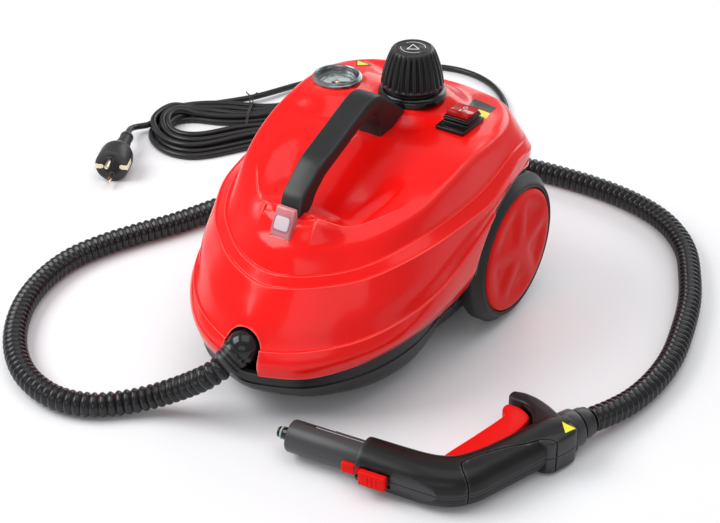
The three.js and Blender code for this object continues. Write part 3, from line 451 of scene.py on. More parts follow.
softbox("key", (-1.25, -0.75, 1.45), (-0.1, 0.0, 0.1), (1.4, 1.1), 27)
softbox("front", (0.7, -1.9, 1.0), (-0.05, 0.0, 0.1), (1.6, 0.9), 5)
softbox("top", (0.3, 0.2, 2.4), (0.0, 0.0, 0.1), (2.0, 2.0), 17)
softbox("back", (0.0, 1.9, 0.9), (-0.1, 0.0, 0.15), (1.9, 0.8), 13)
bpy.context.scene.view_settings.view_transform = "Standard"

world = bpy.data.worlds.new("studio")
bpy.context.scene.world = world
world.use_nodes = True
world.node_tree.nodes["Background"].inputs["Color"].default_value = (0.95, 0.96, 1.0, 1)
world.node_tree.nodes["Background"].inputs["Strength"].default_value = 0.47

HALF_FLOOR = 4.0
floor_mesh = bpy.data.meshes.new("studio_floor")
floor_mesh.from_pydata([(x, y, 0) for x, y in rect(-HALF_FLOOR, -HALF_FLOOR, HALF_FLOOR,
                                                   HALF_FLOOR)], [], [(0, 1, 2, 3)])
floor_mesh.materials.append(STUDIO_FLOOR)
floor = bpy.data.objects.new("studio_floor", floor_mesh)
bpy.context.scene.collection.objects.link(floor)

# ---- steam hose
HOSE_DIAMETER = 23.0
HOSE_PITCH = 7.4
RINGS_PER_RIB = 6
SOCKET_CENTRE = np.array([0, -170, 71.0])
HOSE_OUT = unit([-0.42, -0.7, -0.58])
HOSE_REST = 11.8  # height of its axis where it lies on the floor


def on_hose_axis(distance):
    return SOCKET_CENTRE + HOSE_OUT * distance


HOSE_ROUTE = [on_hose_axis(21.3), on_hose_axis(28), [-20, -197, 47.5], [-32, -201, 38.5],
              [-48, -206, 28], [-67, -215, 18], [-88, -231, 12.4]]
HOSE_ROUTE += [[x, y, HOSE_REST] for x, y in (
    (-113, -251), (-145, -259.5), (-184, -252), (-218, -232), (-248, -202), (-273, -162),
    (-287, -118), (-289, -75), (-279, -37), (-261, 3), (-244, 37), (-228, 80), (-209, 138),
    (-180, 198), (-143, 250), (-99, 294), (-48, 326), (5, 342), (53, 346), (98, 345),
    (138, 338), (176, 323), (204, 302), (227, 275), (247, 238), (266, 194), (281, 142),
    (290, 98), (292, 58))]
HOSE_ROUTE += [[288, 20, 12.4], [281, -10, 15.5], [272, -37, 19]]
HOSE_SAMPLES = 1600
hose_path = spaced(catmull(HOSE_ROUTE, HOSE_SAMPLES), HOSE_PITCH / RINGS_PER_RIB)
GROOVE_DEPTH, CREST_POWER = 2.3, 0.55
phase = np.arange(len(hose_path)) / RINGS_PER_RIB * 2 * np.pi
crest = np.clip(0.5 + 0.5 * np.cos(phase), 0, 1) ** CREST_POWER
hose = tube("steam_hose_ribbed", hose_path, HOSE_DIAMETER / 2 - GROOVE_DEPTH * (1 - crest),
            HOSE_BLACK, sides=24)
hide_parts("steam_hose")

# ---- mains lead
LEAD_DIAMETER = 7.2
LEAD_ROUTE = [[0, 216, 58], [0, 226, 56.8], [-1, 234, 53.6], [-4, 255, 43], [-9, 282, 32.5],
              [-16, 308, 28.4], [-24, 335, 27.6], [-34, 364, 21.5], [-47, 396, 10],
              [-63, 430, 4.2], [-84, 463, 3.8], [-108, 494, 3.8], [-138, 518, 3.8],
              [-174, 530, 3.8], [-210, 526, 3.8], [-243, 506, 3.8], [-272, 480, 3.8],
              [-297, 449, 3.8], [-317, 416, 4], [-331, 385, 5.5], [-340, 358, 7],
              [-348, 335, 8], [-358, 318, 7.4]]
TAIL_ROUTE = [[-423, 186, 8.6], [-422, 174, 11.6], [-416, 163, 15.6], [-409.5, 154, 18.4],
              [-404, 146, 19]]
# Matching points on the inner and the outer side of the hank, round its loop.
HANK_INNER = [[-396, 224], [-392, 213], [-382, 207], [-365, 207], [-350, 218], [-339, 236],
              [-326, 256], [-301, 277], [-276, 289], [-258, 305], [-268, 317], [-293, 301],
              [-327, 264], [-347, 252], [-379, 242], [-391, 234]]
HANK_OUTER = [[-419, 222], [-411, 190], [-388, 167], [-355, 157], [-325, 166], [-302, 196],
              [-288, 220], [-268, 252], [-242, 284], [-230, 312], [-252, 342], [-301, 327],
              [-342, 309], [-376, 296], [-409, 269], [-418, 245]]
# Place of each turn in the hank's section, as its share of the width and its height:
# first where the hank is fanned out, then where it is bunched.
TURNS = [((1.0, 3.8), (1.0, 3.8)), ((0.25, 3.8), (0.5, 3.8)), ((0.0, 3.8), (0.0, 3.8)),
         ((0.75, 3.8), (0.5, 10.4)), ((0.5, 3.8), (0.0, 10.4)), ((0.12, 9.2), (0.1, 17.2)),
         ((0.38, 9.0), (0.5, 17.2)), ((0.62, 9.0), (1.0, 17.2)), ((0.88, 9.2), (1.0, 10.4))]
STATIONS = 64
FIRST_STATION = 53
LAST_TURN = 16
LEAST_ROOM, FULL_ROOM = 18.0, 32.0
CHANGE_START = 0.55  # share of a turn after which it moves over to the next place
LEAD_SAMPLES, LEAD_STEP, LEAD_PASSES = 5000, 4.0, 10


def hank_route():
    """One continuous line through every turn of the hank."""
    inner = catmull(HANK_INNER, STATIONS, closed=True)
    outer = catmull(HANK_OUTER, STATIONS, closed=True)
    across = outer - inner
    width = np.linalg.norm(across, axis=1)
    outward = across / width[:, None]
    room = width - LEAD_DIAMETER - 1
    fan = smooth((room - LEAST_ROOM) / (FULL_ROOM - LEAST_ROOM))
    table = np.array(TURNS)
    last = len(TURNS) - 1
    route = []
    for k in range(len(TURNS)):
        for j in range(STATIONS if k < last else LAST_TURN):
            i = (FIRST_STATION + j) % STATIONS
            change = smooth((j / STATIONS - CHANGE_START) / (1 - CHANGE_START)) if k < last else 0.0
            spots = table[k] + (table[min(k + 1, last)] - table[k]) * change
            share, height = spots[1] + (spots[0] - spots[1]) * fan[i]
            sway = math.sin(2.3 * k + 4 * math.pi * j / STATIONS)
            flat = inner[i] + outward[i] * (LEAD_DIAMETER / 2 + 0.5 + share * room[i] + sway)
            route.append([flat[0], flat[1], height])
    return route


lead_points = np.vstack([LEAD_ROUTE, hank_route()[3:], TAIL_ROUTE])
lead_line = spaced(catmull(lead_points, LEAD_SAMPLES), LEAD_STEP)
for _ in range(LEAD_PASSES):
    lead_line[1:-1] = 0.5 * lead_line[1:-1] + 0.25 * (lead_line[:-2] + lead_line[2:])
lead_curve = bpy.data.curves.new("mains_lead_line", "CURVE")
lead_curve.dimensions = "3D"
lead_curve.bevel_depth = LEAD_DIAMETER / 2 * MM
lead_curve.bevel_resolution = 4
lead_curve.use_fill_caps = True
spline = lead_curve.splines.new("POLY")
spline.points.add(len(lead_line) - 1)
for point, place in zip(spline.points, at(lead_line)):
    point.co = (*place, 1)
lead = bpy.data.objects.new("mains_lead_line", lead_curve)
bpy.context.scene.collection.objects.link(lead)
lead_curve.materials.append(CORD_BLACK)
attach(lead, "machine")
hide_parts("mains_lead", "cord_hank", "lead_tail")

# ---- plug, tie and gland
PLUG_AXIS = unit([0.44, -0.898, 0])
PLUG_ACROSS = np.array([-PLUG_AXIS[1], PLUG_AXIS[0], 0])
PLUG_START = np.array([-403.2, 145, 19.0])
plug_place = placer(PLUG_START, PLUG_ACROSS, UP, PLUG_AXIS)


def ribs(count, start, pitch, radius, growth, depth, crown):
    """Profile points of raised ribs, whose radius grows from one to the next."""
    rows = []
    for k in range(count):
        a, r = start + pitch * k, radius + growth * k
        rows += [[r - depth, a], [r, a + 0.5], [r, a + 0.5 + crown], [r - depth, a + 1 + crown]]
    return rows


plug = turned("plug_body_moulded",
              [[0, 0.3], [7.2, 0.3], [7.6, 1.2], [7.6, 4.2], [6.4, 5.0],
               *ribs(7, 5.9, 3.6, 7.0, 0.36, 1.6, 2.0), [8.2, 32], [12.4, 33], [14, 35],
               [17.4, 42.5], [18.4, 45], [18.9, 49], [18.9, 69.5], [18.2, 71], [15.4, 71.4],
               [14.8, 70.2], [0, 70.2]], PLUG_START, PLUG_AXIS, BLACK_SATIN)
facets = [box_tool((a * 14.2, b * 14.2, 36), (a * 30, b * 30, 68), plug_place)
          for a in (-1, 1) for b in (-1, 1)]
carve(plug, facets + [box_tool((s * 17.4, -5, 52), (s * 24, 5, 80), plug_place)
                      for s in (-1, 1)])
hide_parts("plug_body")
plug_parts = [plug]
for s, tag in ((-1, "a"), (1, "b")):
    clip = block(f"earth_clip_{tag}", (s * 17.5, -3.2, 55), (s * 18.5, 3.2, 71.6), PALE_BRASS,
                 bevel=0.3, place=plug_place)
    spring = turned("earth_spring", [[0, 0], [2.6, 0], [2.6, 1.2], [0, 1.4]],
                    plug_place([[s * 11.5, 0, 70]])[0], PLUG_AXIS, PALE_BRASS, sides=32)
    foot = block("earth_foot", (s * 14.5 - 3.5, -2.8, 70.2), (s * 14.5 + 3.5, 2.8, 71.8),
                 PALE_BRASS, bevel=0.3, place=plug_place)
    plug_parts.append(joined(clip, spring, foot))
for s, name in ((-1, "plug_pin_a"), (1, "plug_pin_b")):
    start = plug_place([[0, -s * 9.5, 66.0]])[0]
    pin = turned(f"{name}_turned", [[0, 0], [2.4, 0], [2.4, 23.2], [1.9, 24.6], [0.9, 25.2],
                                    [0, 25.3]], start, PLUG_AXIS, PALE_BRASS, sides=40)
    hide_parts(name)
    plug_parts += [pin, turned(f"{name}_collar", [[2.3, 3.6], [3.7, 3.6], [3.7, 4.9],
                                                  [3.1, 5.2], [2.3, 5.2]],
                               start, PLUG_AXIS, BLACK_SATIN, sides=40, loop=True)]

# The tie's own coordinates run along the arm of the hank, across it and up.
tie_place = spun(np.array([-334.0, 286, 0]), 27)


for k, shift in enumerate((-0.8, 0.9)):
    loop = rounded([[-26, 1.0], [25, 1.0], [26, 8], [14, 14.2], [-14, 14.2], [-27, 8]], 8, 5)
    loop = np.vstack([loop, loop[:1]])
    line = np.stack([np.full(len(loop), shift) + 0.02 * loop[:, 1], loop[:, 0], loop[:, 1]], 1)
    line = spaced(tie_place(line), 2.0)
    tube(f"tie_wire_{k}", line, 0.75, BLACK_SATIN, sides=12)
for k, swing in enumerate((-1, 1)):
    ends = catmull([[0, 10, 14.6], [swing * 2, 12, 18], [-swing * 2, 13, 21],
                    [swing * 3, 15, 24], [swing * 7, 17, 27]], 30)
    tube(f"tie_end_{k}", tie_place(ends), 0.7, BLACK_SATIN, sides=12)
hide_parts("cord_tie")

gland = turned("mains_gland_ribbed",
               [[0, -6], [6.2, -6], [6.2, 0.6], [10, 0.6], [10.4, 2.4], [9.6, 4.2], [7.6, 5],
                *ribs(6, 6.2, 3.5, 7.2, -0.36, 1.3, 1.7), [4.9, 27.8], [4.6, 28.4],
                [0, 28.4]], (0, 187, 58), (0, 1, 0), RUBBER, sides=64)
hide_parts("mains_gland")

# ---- upper shell
SHELL_RINGS = [
    [[0, -178, 49], [30, -171, 50], [59, -157, 52], [87, -126, 57], [102, -95, 61],
     [111, -52, 63], [115, -4, 67], [116, 45, 74], [113, 95, 76], [102, 139, 70],
     [68, 173, 58], [0, 186, 50]],
    [[0, -180, 60], [32, -173, 62], [63, -158, 66], [94, -127, 70], [111, -96, 75],
     [120, -52, 80], [123, 0, 86], [124, 45, 95], [119, 95, 103], [106, 140, 97],
     [70, 174, 83], [0, 187, 75]],
    [[0, -175, 74], [30, -167, 75], [59, -153, 79], [88, -126, 84], [107, -94, 91],
     [119, -51, 99], [124, 0, 116], [125, 45, 137], [121, 95, 152], [109, 141, 146],
     [72, 176, 125], [0, 186, 112]],
    [[0, -159, 98], [28, -153, 100], [55, -140, 103], [80, -118, 107], [101, -93, 114],
     [116, -51, 122], [122, 0, 133], [125, 45, 145], [120, 95, 158], [110, 142, 154],
     [72, 175, 140], [0, 185, 130]],
    [[0, -140, 119], [24, -136, 122], [46, -126, 125], [68, -109, 128], [87, -91, 134],
     [109, -50, 144], [119, 0, 149], [123, 45, 153], [119, 95, 165], [110, 142, 161],
     [72, 174, 152], [0, 185, 147]],
    [[0, -132, 128], [22, -129, 130], [41, -120, 132], [61, -105, 135], [80, -86, 141],
     [99, -46, 150], [109, 0, 156], [114, 45, 163], [113, 95, 173], [105, 138, 171],
     [70, 172, 164], [0, 182, 159]],
    [[0, -118, 150], [18, -115, 150], [34, -106, 151], [52, -91, 153], [72, -70, 159],
     [94, -34, 172], [103, 5, 186], [105, 50, 198], [102, 95, 204], [90, 133, 203],
     [60, 163, 199], [0, 173, 189]]]
# Stations round the rings, closer together over the nose.
NOSE_SPAN, RING_SPAN = 3, 22
STATION_STEPS = np.concatenate([np.arange(0, NOSE_SPAN, 1 / 18),
                                np.arange(NOSE_SPAN, RING_SPAN - NOSE_SPAN, 1 / 9),
                                np.arange(RING_SPAN - NOSE_SPAN, RING_SPAN, 1 / 18)])
DECK_SHARES = np.concatenate([np.arange(1, 0.72, -0.0068), np.linspace(0.72, 0.02, 54)])
AROUND = len(STATION_STEPS)
SHELL_WALL = 2.8
SWITCH_SIDE_DROP = 9.0
STEP_DEPTH, STEP_WIDTH, STEP_FADE = 2.0, 1.9, 26.0
HOLLOW_DEPTH, VISOR_RISE, RECESS_DEPTH, LIP_DEPTH = 12.5, 12.5, 3.4, 1.0
RECESS_HALF_WIDTH = 26.5
SHELL_PASSES = 22
DECK_CENTRE = np.array([0, 45, 192.0])
CAP_Y = 105.0
GAUGE = np.array([-72, 85, 208.0])
SWITCH = np.array([63, 86, 195.0])
PADS = [(-72, 85, 205.6, 25, 34), (0, 105, 199.8, 33, 26), (65, 86, 194.3, 24, 26)]


def ring(half):
    right = np.array(half, float)
    left = right[1:-1][::-1] * [-1, 1, 1]
    return catmull(np.vstack([right, left]), STATION_STEPS, closed=True)


def deck_height(x, y, z):
    """Height of the deck: its plain crown z with the visor, the hand hollow and the pads."""
    side = np.abs(x)
    lip = -100 + 0.01 * x * x
    past_lip = np.clip((y - lip) / 52, 0, 1)
    hollow = (1 - (1 - past_lip) ** 2) * smooth((78 - side) / 40)
    fade = 1 - smooth((y + 42) / 66)
    visor = smooth((62 - side) / 38) * smooth((y + 128) / 30) * (1 - smooth((y + 96) / 34))
    height = z - HOLLOW_DEPTH * hollow * fade + VISOR_RISE * visor
    ahead = np.clip(-101 - y, 0, None) / 18.5
    inside = 1 - ((side / RECESS_HALF_WIDTH) ** 3 + ahead ** 3) ** (1 / 3)
    recess = smooth(inside * RECESS_HALF_WIDTH / 1.8 + 0.5) * (1 - smooth((y + 98) / 9))
    height = height - RECESS_DEPTH * recess
    height = height - (LIP_DEPTH * smooth((y - lip - 1) / 2.2) * (1 - smooth((y - lip) / 30))
                       * smooth((82 - side) / 14) * smooth((side - 14) / 9))
    for px, py, pz, radius, slope in PADS:
        distance = np.hypot(x - px, y - py)
        height = height + (pz - height) * smooth((radius + slope - distance) / slope)
    return height


def pressed_lines(rows, lines):
    """Presses a crisp step into the skin along each line, with fine rows across it."""
    last = len(rows) - 1
    spread = np.arange(-2.0, 2.01, 0.2)
    places = np.unique(np.round(np.concatenate([np.arange(last + 1.0)]
                                               + [line + spread for line in lines]), 3))
    low = np.minimum(places.astype(int), last - 1)
    share = (places - low)[:, None, None]
    arc = np.cumsum(np.linalg.norm(np.diff(rows, axis=0, prepend=rows[:1]), axis=2), axis=0)
    facing = normals_of(rows)
    fine = [grid[low] * (1 - share) + grid[low + 1] * share for grid in (rows, facing)]
    fine_arc = arc[low] * (1 - share[..., 0]) + arc[low + 1] * share[..., 0]
    depth = np.zeros(fine_arc.shape)
    for line in lines:
        past = fine_arc - arc[line]
        above = smooth(past / STEP_WIDTH + 0.5) * (1 - smooth(past / STEP_FADE))
        below = (1 - smooth(past / STEP_WIDTH + 0.5)) * (1 - smooth(-past / STEP_FADE))
        depth += STEP_DEPTH / 2 * (above - below)
    depth *= 1 - 0.75 * smooth((fine[0][..., 1] - 60) / 70)
    return fine[0] - fine[1] * depth[..., None], places


def shell_skin():
    """Rows of points over the shell from its bottom edge to the middle of the deck."""
    edge, bulge, crease, belt, ledge_low, ledge_high, shoulder = map(ring, SHELL_RINGS)
    shoulder[:, 2] -= (SWITCH_SIDE_DROP * smooth((shoulder[:, 0] - 5) / 55)
                       * smooth((shoulder[:, 1] - 20) / 70))
    rows, lines = [], []

    def span(points, count):
        line = np.stack([catmull([p[i] for p in points], count) for i in range(AROUND)], 1)
        rows.extend(line[:-1])
        lines.append(len(rows))

    span([edge, bulge, crease], 27)
    span([crease, belt, ledge_low], 27)
    span([ledge_low, ledge_high], 8)
    span([ledge_high, shoulder], 16)
    lines.pop()
    deck_start = len(rows)
    for s in DECK_SHARES:
        flat = DECK_CENTRE[:2] + s * (shoulder[:, :2] - DECK_CENTRE[:2])
        z = shoulder[:, 2] + (DECK_CENTRE[2] - shoulder[:, 2]) * (1 - s * s)
        rows.append(np.column_stack([flat, z]))
    rows = np.array(rows)
    near = np.zeros(len(rows), bool)
    for line in lines:
        near[line - 1:line + 2] = True
    for step in range(SHELL_PASSES):
        free = (~near | (step == 0))[1:-1]
        moved = 0.25 * rows[:-2] + 0.5 * rows[1:-1] + 0.25 * rows[2:]
        rows[1:-1][free] = moved[free]
    rows, places = pressed_lines(rows, lines)
    deck_share = np.interp(places, np.arange(deck_start, deck_start + len(DECK_SHARES)),
                           1 - DECK_SHARES, left=0)
    raised = deck_height(rows[..., 0], rows[..., 1], rows[..., 2])
    rows[..., 2] += (raised - rows[..., 2]) * smooth(deck_share / 0.08)[:, None]
    return rows


def normals_of(rows):
    around = np.roll(rows, -1, axis=1) - np.roll(rows, 1, axis=1)
    climb = np.gradient(rows, axis=0)
    out = np.cross(around, climb)
    return out / np.maximum(np.linalg.norm(out, axis=2), 1e-9)[..., None]


def shell_solid():
    outer = shell_skin()
    facing = normals_of(outer)
    inner = outer - SHELL_WALL * facing
    inner[0, :, 2] = outer[0, :, 2]
    lip = outer[:1] - 0.6 * facing[:1]
    lip[..., 2] -= 0.5
    stack = [*inner[::-1], *lip, *outer]
    faces = grid_faces(len(stack), AROUND)
    for row, turn in ((0, -1), (len(stack) - 1, 1)):
        faces.append(tuple(row * AROUND + c for c in range(AROUND))[::turn])
    return piece("upper_shell_moulded", np.vstack(stack), faces, RED_GLOSS)


WHEEL_Y = 95.7
TYRE_RADIUS = 74.3
WELL_X, WELL_RADIUS = 96.5, 79
NOSE_RADIUS = 18.5
LENS_OUTLINE = [[-113, 148], [-113, 158], [-102, 177.5], [-98, 177.5], [-98, 148]]


def rod_tool(start, end, radius, sides=128):
    axis = np.subtract(end, start)
    length = np.linalg.norm(axis)
    return turned("tool", [[0, 0], [radius, 0], [radius, length], [0, length]], start, axis,
                  None, None, sides)


shell = shell_solid()
cutters = [rod_tool((s * WELL_X, WHEEL_Y, TYRE_RADIUS), (s * 140, WHEEL_Y, TYRE_RADIUS),
                    WELL_RADIUS, 160) for s in (-1, 1)]
cutters += [rod_tool((0, -205, 70), (0, -152, 70), NOSE_RADIUS, 96),
            box_tool((-NOSE_RADIUS, -205, 20), (NOSE_RADIUS, -152, 70)),
            rod_tool((*GAUGE[:2], 178), (*GAUGE[:2], 230), 22.3),
            rod_tool((0, CAP_Y, 170), (0, CAP_Y, 230), 22),
            slab("tool", LENS_OUTLINE, -10.4, 10.4, None, None, place=yz_place)]
carve(shell, cutters)
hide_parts("upper_shell")

shell_tree = BVHTree.FromObject(shell, bpy.context.evaluated_depsgraph_get())


def on_top(tree, x, y, lift=0.0):
    """The topmost point of a surface at (x, y), in machine millimetres."""
    hit = tree.ray_cast(Vector(at([x, y, 320])), Vector((0, 0, -1)))[0]
    return np.array([x, y, hit[2] / MM + lift])


def sticker(name, corners, material, lift=0.25, tree=shell_tree):
    """A thin printed patch on a surface between four corners, or three."""
    c = np.array([*corners, corners[-1]][:4], float)
    share = np.linspace(0, 1, STICKER_CELLS + 1)
    spots = [(1 - u) * (1 - v) * c[0] + u * (1 - v) * c[1] + u * v * c[2] + (1 - u) * v * c[3]
             for u in share for v in share]
    n = len(share)
    faces = [(q, q + n, q + n + 1, q + 1) for q in range(n * (n - 1)) if q % n < n - 1]
    top, low = ([on_top(tree, x, y, rise) for x, y in spots] for rise in (lift, -0.4))
    return piece(name, *thick(top, low, faces), material)


# ---- base tray
TRAY_RING = [[0, -178, 48.5], [30, -171, 49.5], [59, -157, 51.5], [87, -126, 56.5],
             [102, -95, 60.5], [109, -52, 62.5], [105, -12, 62], [95, 30, 58], [95, 95, 52],
             [91, 138, 52], [62, 172, 51], [0, 184, 49.5]]
TRAY_BOTTOM = 22.0
tray_edge = ring(TRAY_RING)


def offset_ring(outline, inset):
    before, after = np.roll(outline, 1, axis=0), np.roll(outline, -1, axis=0)
    along = after - before
    along /= np.linalg.norm(along, axis=1)[:, None]
    area = 0.5 * np.sum(outline[:, 0] * after[:, 1] - after[:, 0] * outline[:, 1])
    return outline + np.sign(area) * inset * np.stack([-along[:, 1], along[:, 0]], 1)


def skirt_ring(inset, share, back):
    flat = offset_ring(tray_edge[:, :2], inset)
    y = flat[:, 1] + back * smooth((-40 - flat[:, 1]) / 110)
    return np.column_stack([flat[:, 0], y, TRAY_BOTTOM + share * (tray_edge[:, 2] - TRAY_BOTTOM)])


SKIRT = [(14, 0.01, 4.5), (12, 0, 4.5), (10.2, 0.03, 3.8), (8.4, 0.12, 2.6), (6.2, 0.26, 1.4),
         (4.8, 0.42, 0.4), (4.0, 0.55, 0), (5.0, 0.575, 0), (5.0, 0.62, 0), (3.8, 0.65, 0),
         (3.5, 0.78, 0), (3.3, 0.92, 0), (3.6, 0.99, 0), (8, 1, 0), (8.5, 0.8, 1.5),
         (11, 0.3, 3)]
lofted("tray_skirt", [skirt_ring(*row) for row in SKIRT], BLACK_SATIN, loop=True)
for k, x in enumerate((22, -22)):
    turned(f"tray_stud_{k}", [[0, 0], [3.2, 0], [3.6, 1.2], [3.6, 3.4], [0, 3.6]],
           (x, -146, 18.8), UP, RUBBER, sides=32)

# ---- carrying handle
HANDLE_OUTLINE = [[-97, 176], [-92, 186], [-63, 207], [-48, 212], [8, 234], [20, 237],
                  [32, 234], [54, 216], [73.4, 201], [73.4, 184], [30, 184], [31, 205],
                  [24, 219], [12, 221], [-46, 198], [-58, 193], [-72, 181], [-80, 168],
                  [-97, 164]]


def handle_place(points):
    """Side outline to machine coordinates, narrower at the front foot."""
    moved = yz_place(points)
    moved[:, 0] *= 0.86 + 0.14 * smooth((moved[:, 1] + 95) / 55)
    return moved


handle = slab("carry_handle_moulded", rounded(HANDLE_OUTLINE, 6, 5), -12.5, 12.5, BLACK_SATIN,
              bevel=2.2, segments=4, place=handle_place, sharp=math.radians(40))
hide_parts("carry_handle")

# ---- indicator light
lens = slab("indicator_lens_clear", rounded(LENS_OUTLINE, 2.0, 3), -10, 10, CLEAR_PINK,
            bevel=1.8, segments=4, place=yz_place)
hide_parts("indicator_lens")
diffuser = slab("indicator_diffuser", rounded([[-108.4, 149], [-108.4, 158.4], [-102.6, 168.4],
                                               [-99.4, 168.4], [-99.4, 149]], 1.6, 3),
                -7.4, 7.4, LAMP_GLOW, bevel=1.0, place=yz_place)
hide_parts("indicator_lamp")
# The lens's sloping face: across it, up it and out of it.
LENS_UP = unit([0, 11, 19.5])
lens_place = placer(np.array([0, -113, 158.0]), [1, 0, 0], LENS_UP,
                    [0, -LENS_UP[2], LENS_UP[1]])
slab("indicator_window", rounded(rect(-7.4, 2.2, 7.4, 14.6), 3.0, 5), -0.8, 0.5, LAMP_GLOW,
     bevel=0.5, place=lens_place)
sash = slab("indicator_sash", rounded(rect(-8.8, 0.8, 8.8, 16.0), 4.0, 5), -0.8, 0.3,
            LENS_SASH, bevel=0.3, place=lens_place)
carve(sash, [slab("tool", rounded(rect(-7.6, 2.0, 7.6, 14.8), 3.2, 5), -3, 3, None, None,
                  place=lens_place)])

# ---- pressure gauge
bezel = turned("gauge_bezel_ridged",
               [[20.2, -1.8], [23.6, -1.8], [24.2, -0.8], [23.9, 0.3], [23.1, 0.7],
                [22.9, 1.4], [22.2, 1.6], [22.0, 2.2], [21.3, 2.5], [20.6, 2.4],
                [20.1, 1.8], [19.7, 0.6], [19.7, -0.6]],
               GAUGE, UP, CHROME, sides=128, loop=True)
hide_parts("gauge_bezel")
turned("gauge_well", [[19.0, -9.4], [20.4, -9.4], [20.4, -0.6], [19.3, -0.6], [18.7, -1.8],
                      [19.4, -2.6], [18.7, -3.6], [19.3, -4.6], [18.5, -5.6], [19.0, -6.8],
                      [18.2, -7.8]], GAUGE, UP, GUNMETAL, sides=128, loop=True)

DIAL_RADII = [1.6, 4, 7, 10, 11.6, 13.6, 14.3, 15.3, 16.0, 17.6, 19.5]
DIAL_SIDES = 180
DIAL_START, DIAL_SWEEP = 225, 270
GREEN_START, GREEN_END = 60, 200
TICK_WIDTH = 2.1


def polar_dial():
    """The dial as a polar grid with its printed arc and ticks as faces of their own."""
    turns = np.arange(DIAL_SIDES) / DIAL_SIDES * 2 * np.pi
    face = GAUGE + [(r * math.cos(a), r * math.sin(a), -7.9) for r in DIAL_RADII for a in turns]
    faces = grid_faces(len(DIAL_RADII), DIAL_SIDES)
    dial = piece("gauge_dial_printed", *thick(face, face - UP, faces), DIAL_WHITE)
    dial.data.materials.append(DIAL_GREEN)
    dial.data.materials.append(DIAL_BLACK)
    for polygon in dial.data.polygons:
        x, y, z = np.array(polygon.center) / MM + ORIGIN_FROM_MACHINE - GAUGE
        r, turn = math.hypot(x, y), math.degrees(math.atan2(y, x)) % 360
        sweep = (DIAL_START - turn) % 360
        if z < -8.0 or sweep > DIAL_SWEEP:
            continue
        green = GREEN_START < sweep < GREEN_END
        if 15.3 < r < 16.0 or (16.0 < r < 17.6 and green):
            polygon.material_index = 1 if green else 2
        if ((13.6 < r < 15.3 and sweep % 27 < TICK_WIDTH)
                or (14.3 < r < 15.3 and sweep % 9 < TICK_WIDTH)):
            polygon.material_index = 2
    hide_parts("gauge_dial")


polar_dial()
needle_place = spun(GAUGE, -57)


needle = slab("gauge_needle_blade", [[-1.4, -5.4], [1.4, -5.4], [1.0, 2], [0.3, 15.5],
                                     [-0.3, 15.5], [-1.0, 2]], -6.8, -6.1, DIAL_BLACK, "needle",
              bevel=0.15, segments=2, place=needle_place)
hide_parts("gauge_needle")
turned("gauge_needle_hub", [[0, -7.6], [2.3, -7.6], [2.3, -5.6], [1.6, -5.0], [0, -4.8]],
       GAUGE, UP, BRASS, "needle", sides=48)
glass = turned("gauge_glass_pane", [[0, -2.3], [19.6, -2.3], [19.6, -1.5], [12, -1.1],
                                    [0, -0.9]], GAUGE, UP, GLASS)
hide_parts("gauge_glass")

# ---- filler collar and cap
collar = turned("filler_collar_ring",
                [[17, 196], [21.4, 196], [21.4, 198.6], [31.2, 198.6], [32.4, 199.6],
                 [32.4, 204.4], [31.6, 205.8], [29.4, 206.5], [28.6, 207.4], [17, 207.4]],
                (0, CAP_Y, 0), UP, BLACK_GLOSS, sides=128, loop=True)
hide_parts("filler_collar")

FLUTES, FLUTE_DEPTH, FLUTE_POWER = 26, 1.9, 2.2
CAP_SIDES = FLUTES * 18
CAP_PROFILE = [[24.6, 207.6, 0], [25.2, 207.6, 0], [25.6, 212.2, 0], [28.4, 212.7, 0],
               [29.7, 213.3, 0], [30.0, 214.5, 0.1], [29.8, 215.5, 0.8], [29.6, 216.6, 1],
               [29.0, 220.5, 1], [28.1, 225, 1], [27.0, 229.5, 1], [25.8, 233.5, 1],
               [24.6, 237.2, 1], [23.4, 240.6, 1], [22.3, 243.2, 0.9], [21.4, 245.2, 0.6],
               [20.4, 247, 0.25], [19.4, 248.1, 0], [18.2, 248.8, 0], [16.9, 248.8, 0],
               [16.3, 248.4, 0], [15.4, 248.4, 0], [14.9, 248.8, 0], [8, 248.9, 0],
               [0.05, 248.95, 0]]
angle = np.arange(CAP_SIDES) / CAP_SIDES * 2 * np.pi
flute = (0.5 - 0.5 * np.cos(FLUTES * angle)) ** FLUTE_POWER
cap_rings = []
for radius, z, depth in CAP_PROFILE:
    r = radius - FLUTE_DEPTH * depth * flute
    cap_rings.append(np.column_stack([r * np.cos(angle), CAP_Y + r * np.sin(angle),
                                      np.full(CAP_SIDES, z)]))
cap = lofted("safety_cap_fluted", cap_rings, BLACK_SATIN, "cap")
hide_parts("safety_cap")
# The cap's mark: a triangle's outline in a broken ring.
POINTER_TURN = np.array([[0.857, 0.515], [-0.515, 0.857]])
mark = rounded([[-6.4, -4.6], [6.4, -4.6], [0, 7.2]], 0.8, 3) @ POINTER_TURN
count = len(mark)
mark = np.vstack([mark, mark * 0.74]) + [0, CAP_Y]
low, high = (np.column_stack([mark, np.full(2 * count, z)]) for z in (248.7, 249.0))
piece("cap_pointer_mark", *thick(high, low, grid_faces(2, count)), MARK_WHITE, "cap")
for k, (start_deg, end_deg) in enumerate(((25, 155), (205, 335))):
    sweep = np.radians(np.linspace(start_deg, end_deg, 40))
    arc = np.column_stack([11.6 * np.cos(sweep), CAP_Y + 11.6 * np.sin(sweep),
                           np.full(40, 248.75)])
    tube(f"cap_ring_mark_{k}", arc, 0.32, MARK_WHITE, "cap", sides=8)

# ---- rocker switch
SX, SY, SZ = SWITCH
OPENING = (12.0, 11.4)  # half its width and depth
ROCKER_Y, ROCKER_Z = SY + 4.4, SZ + 8.4


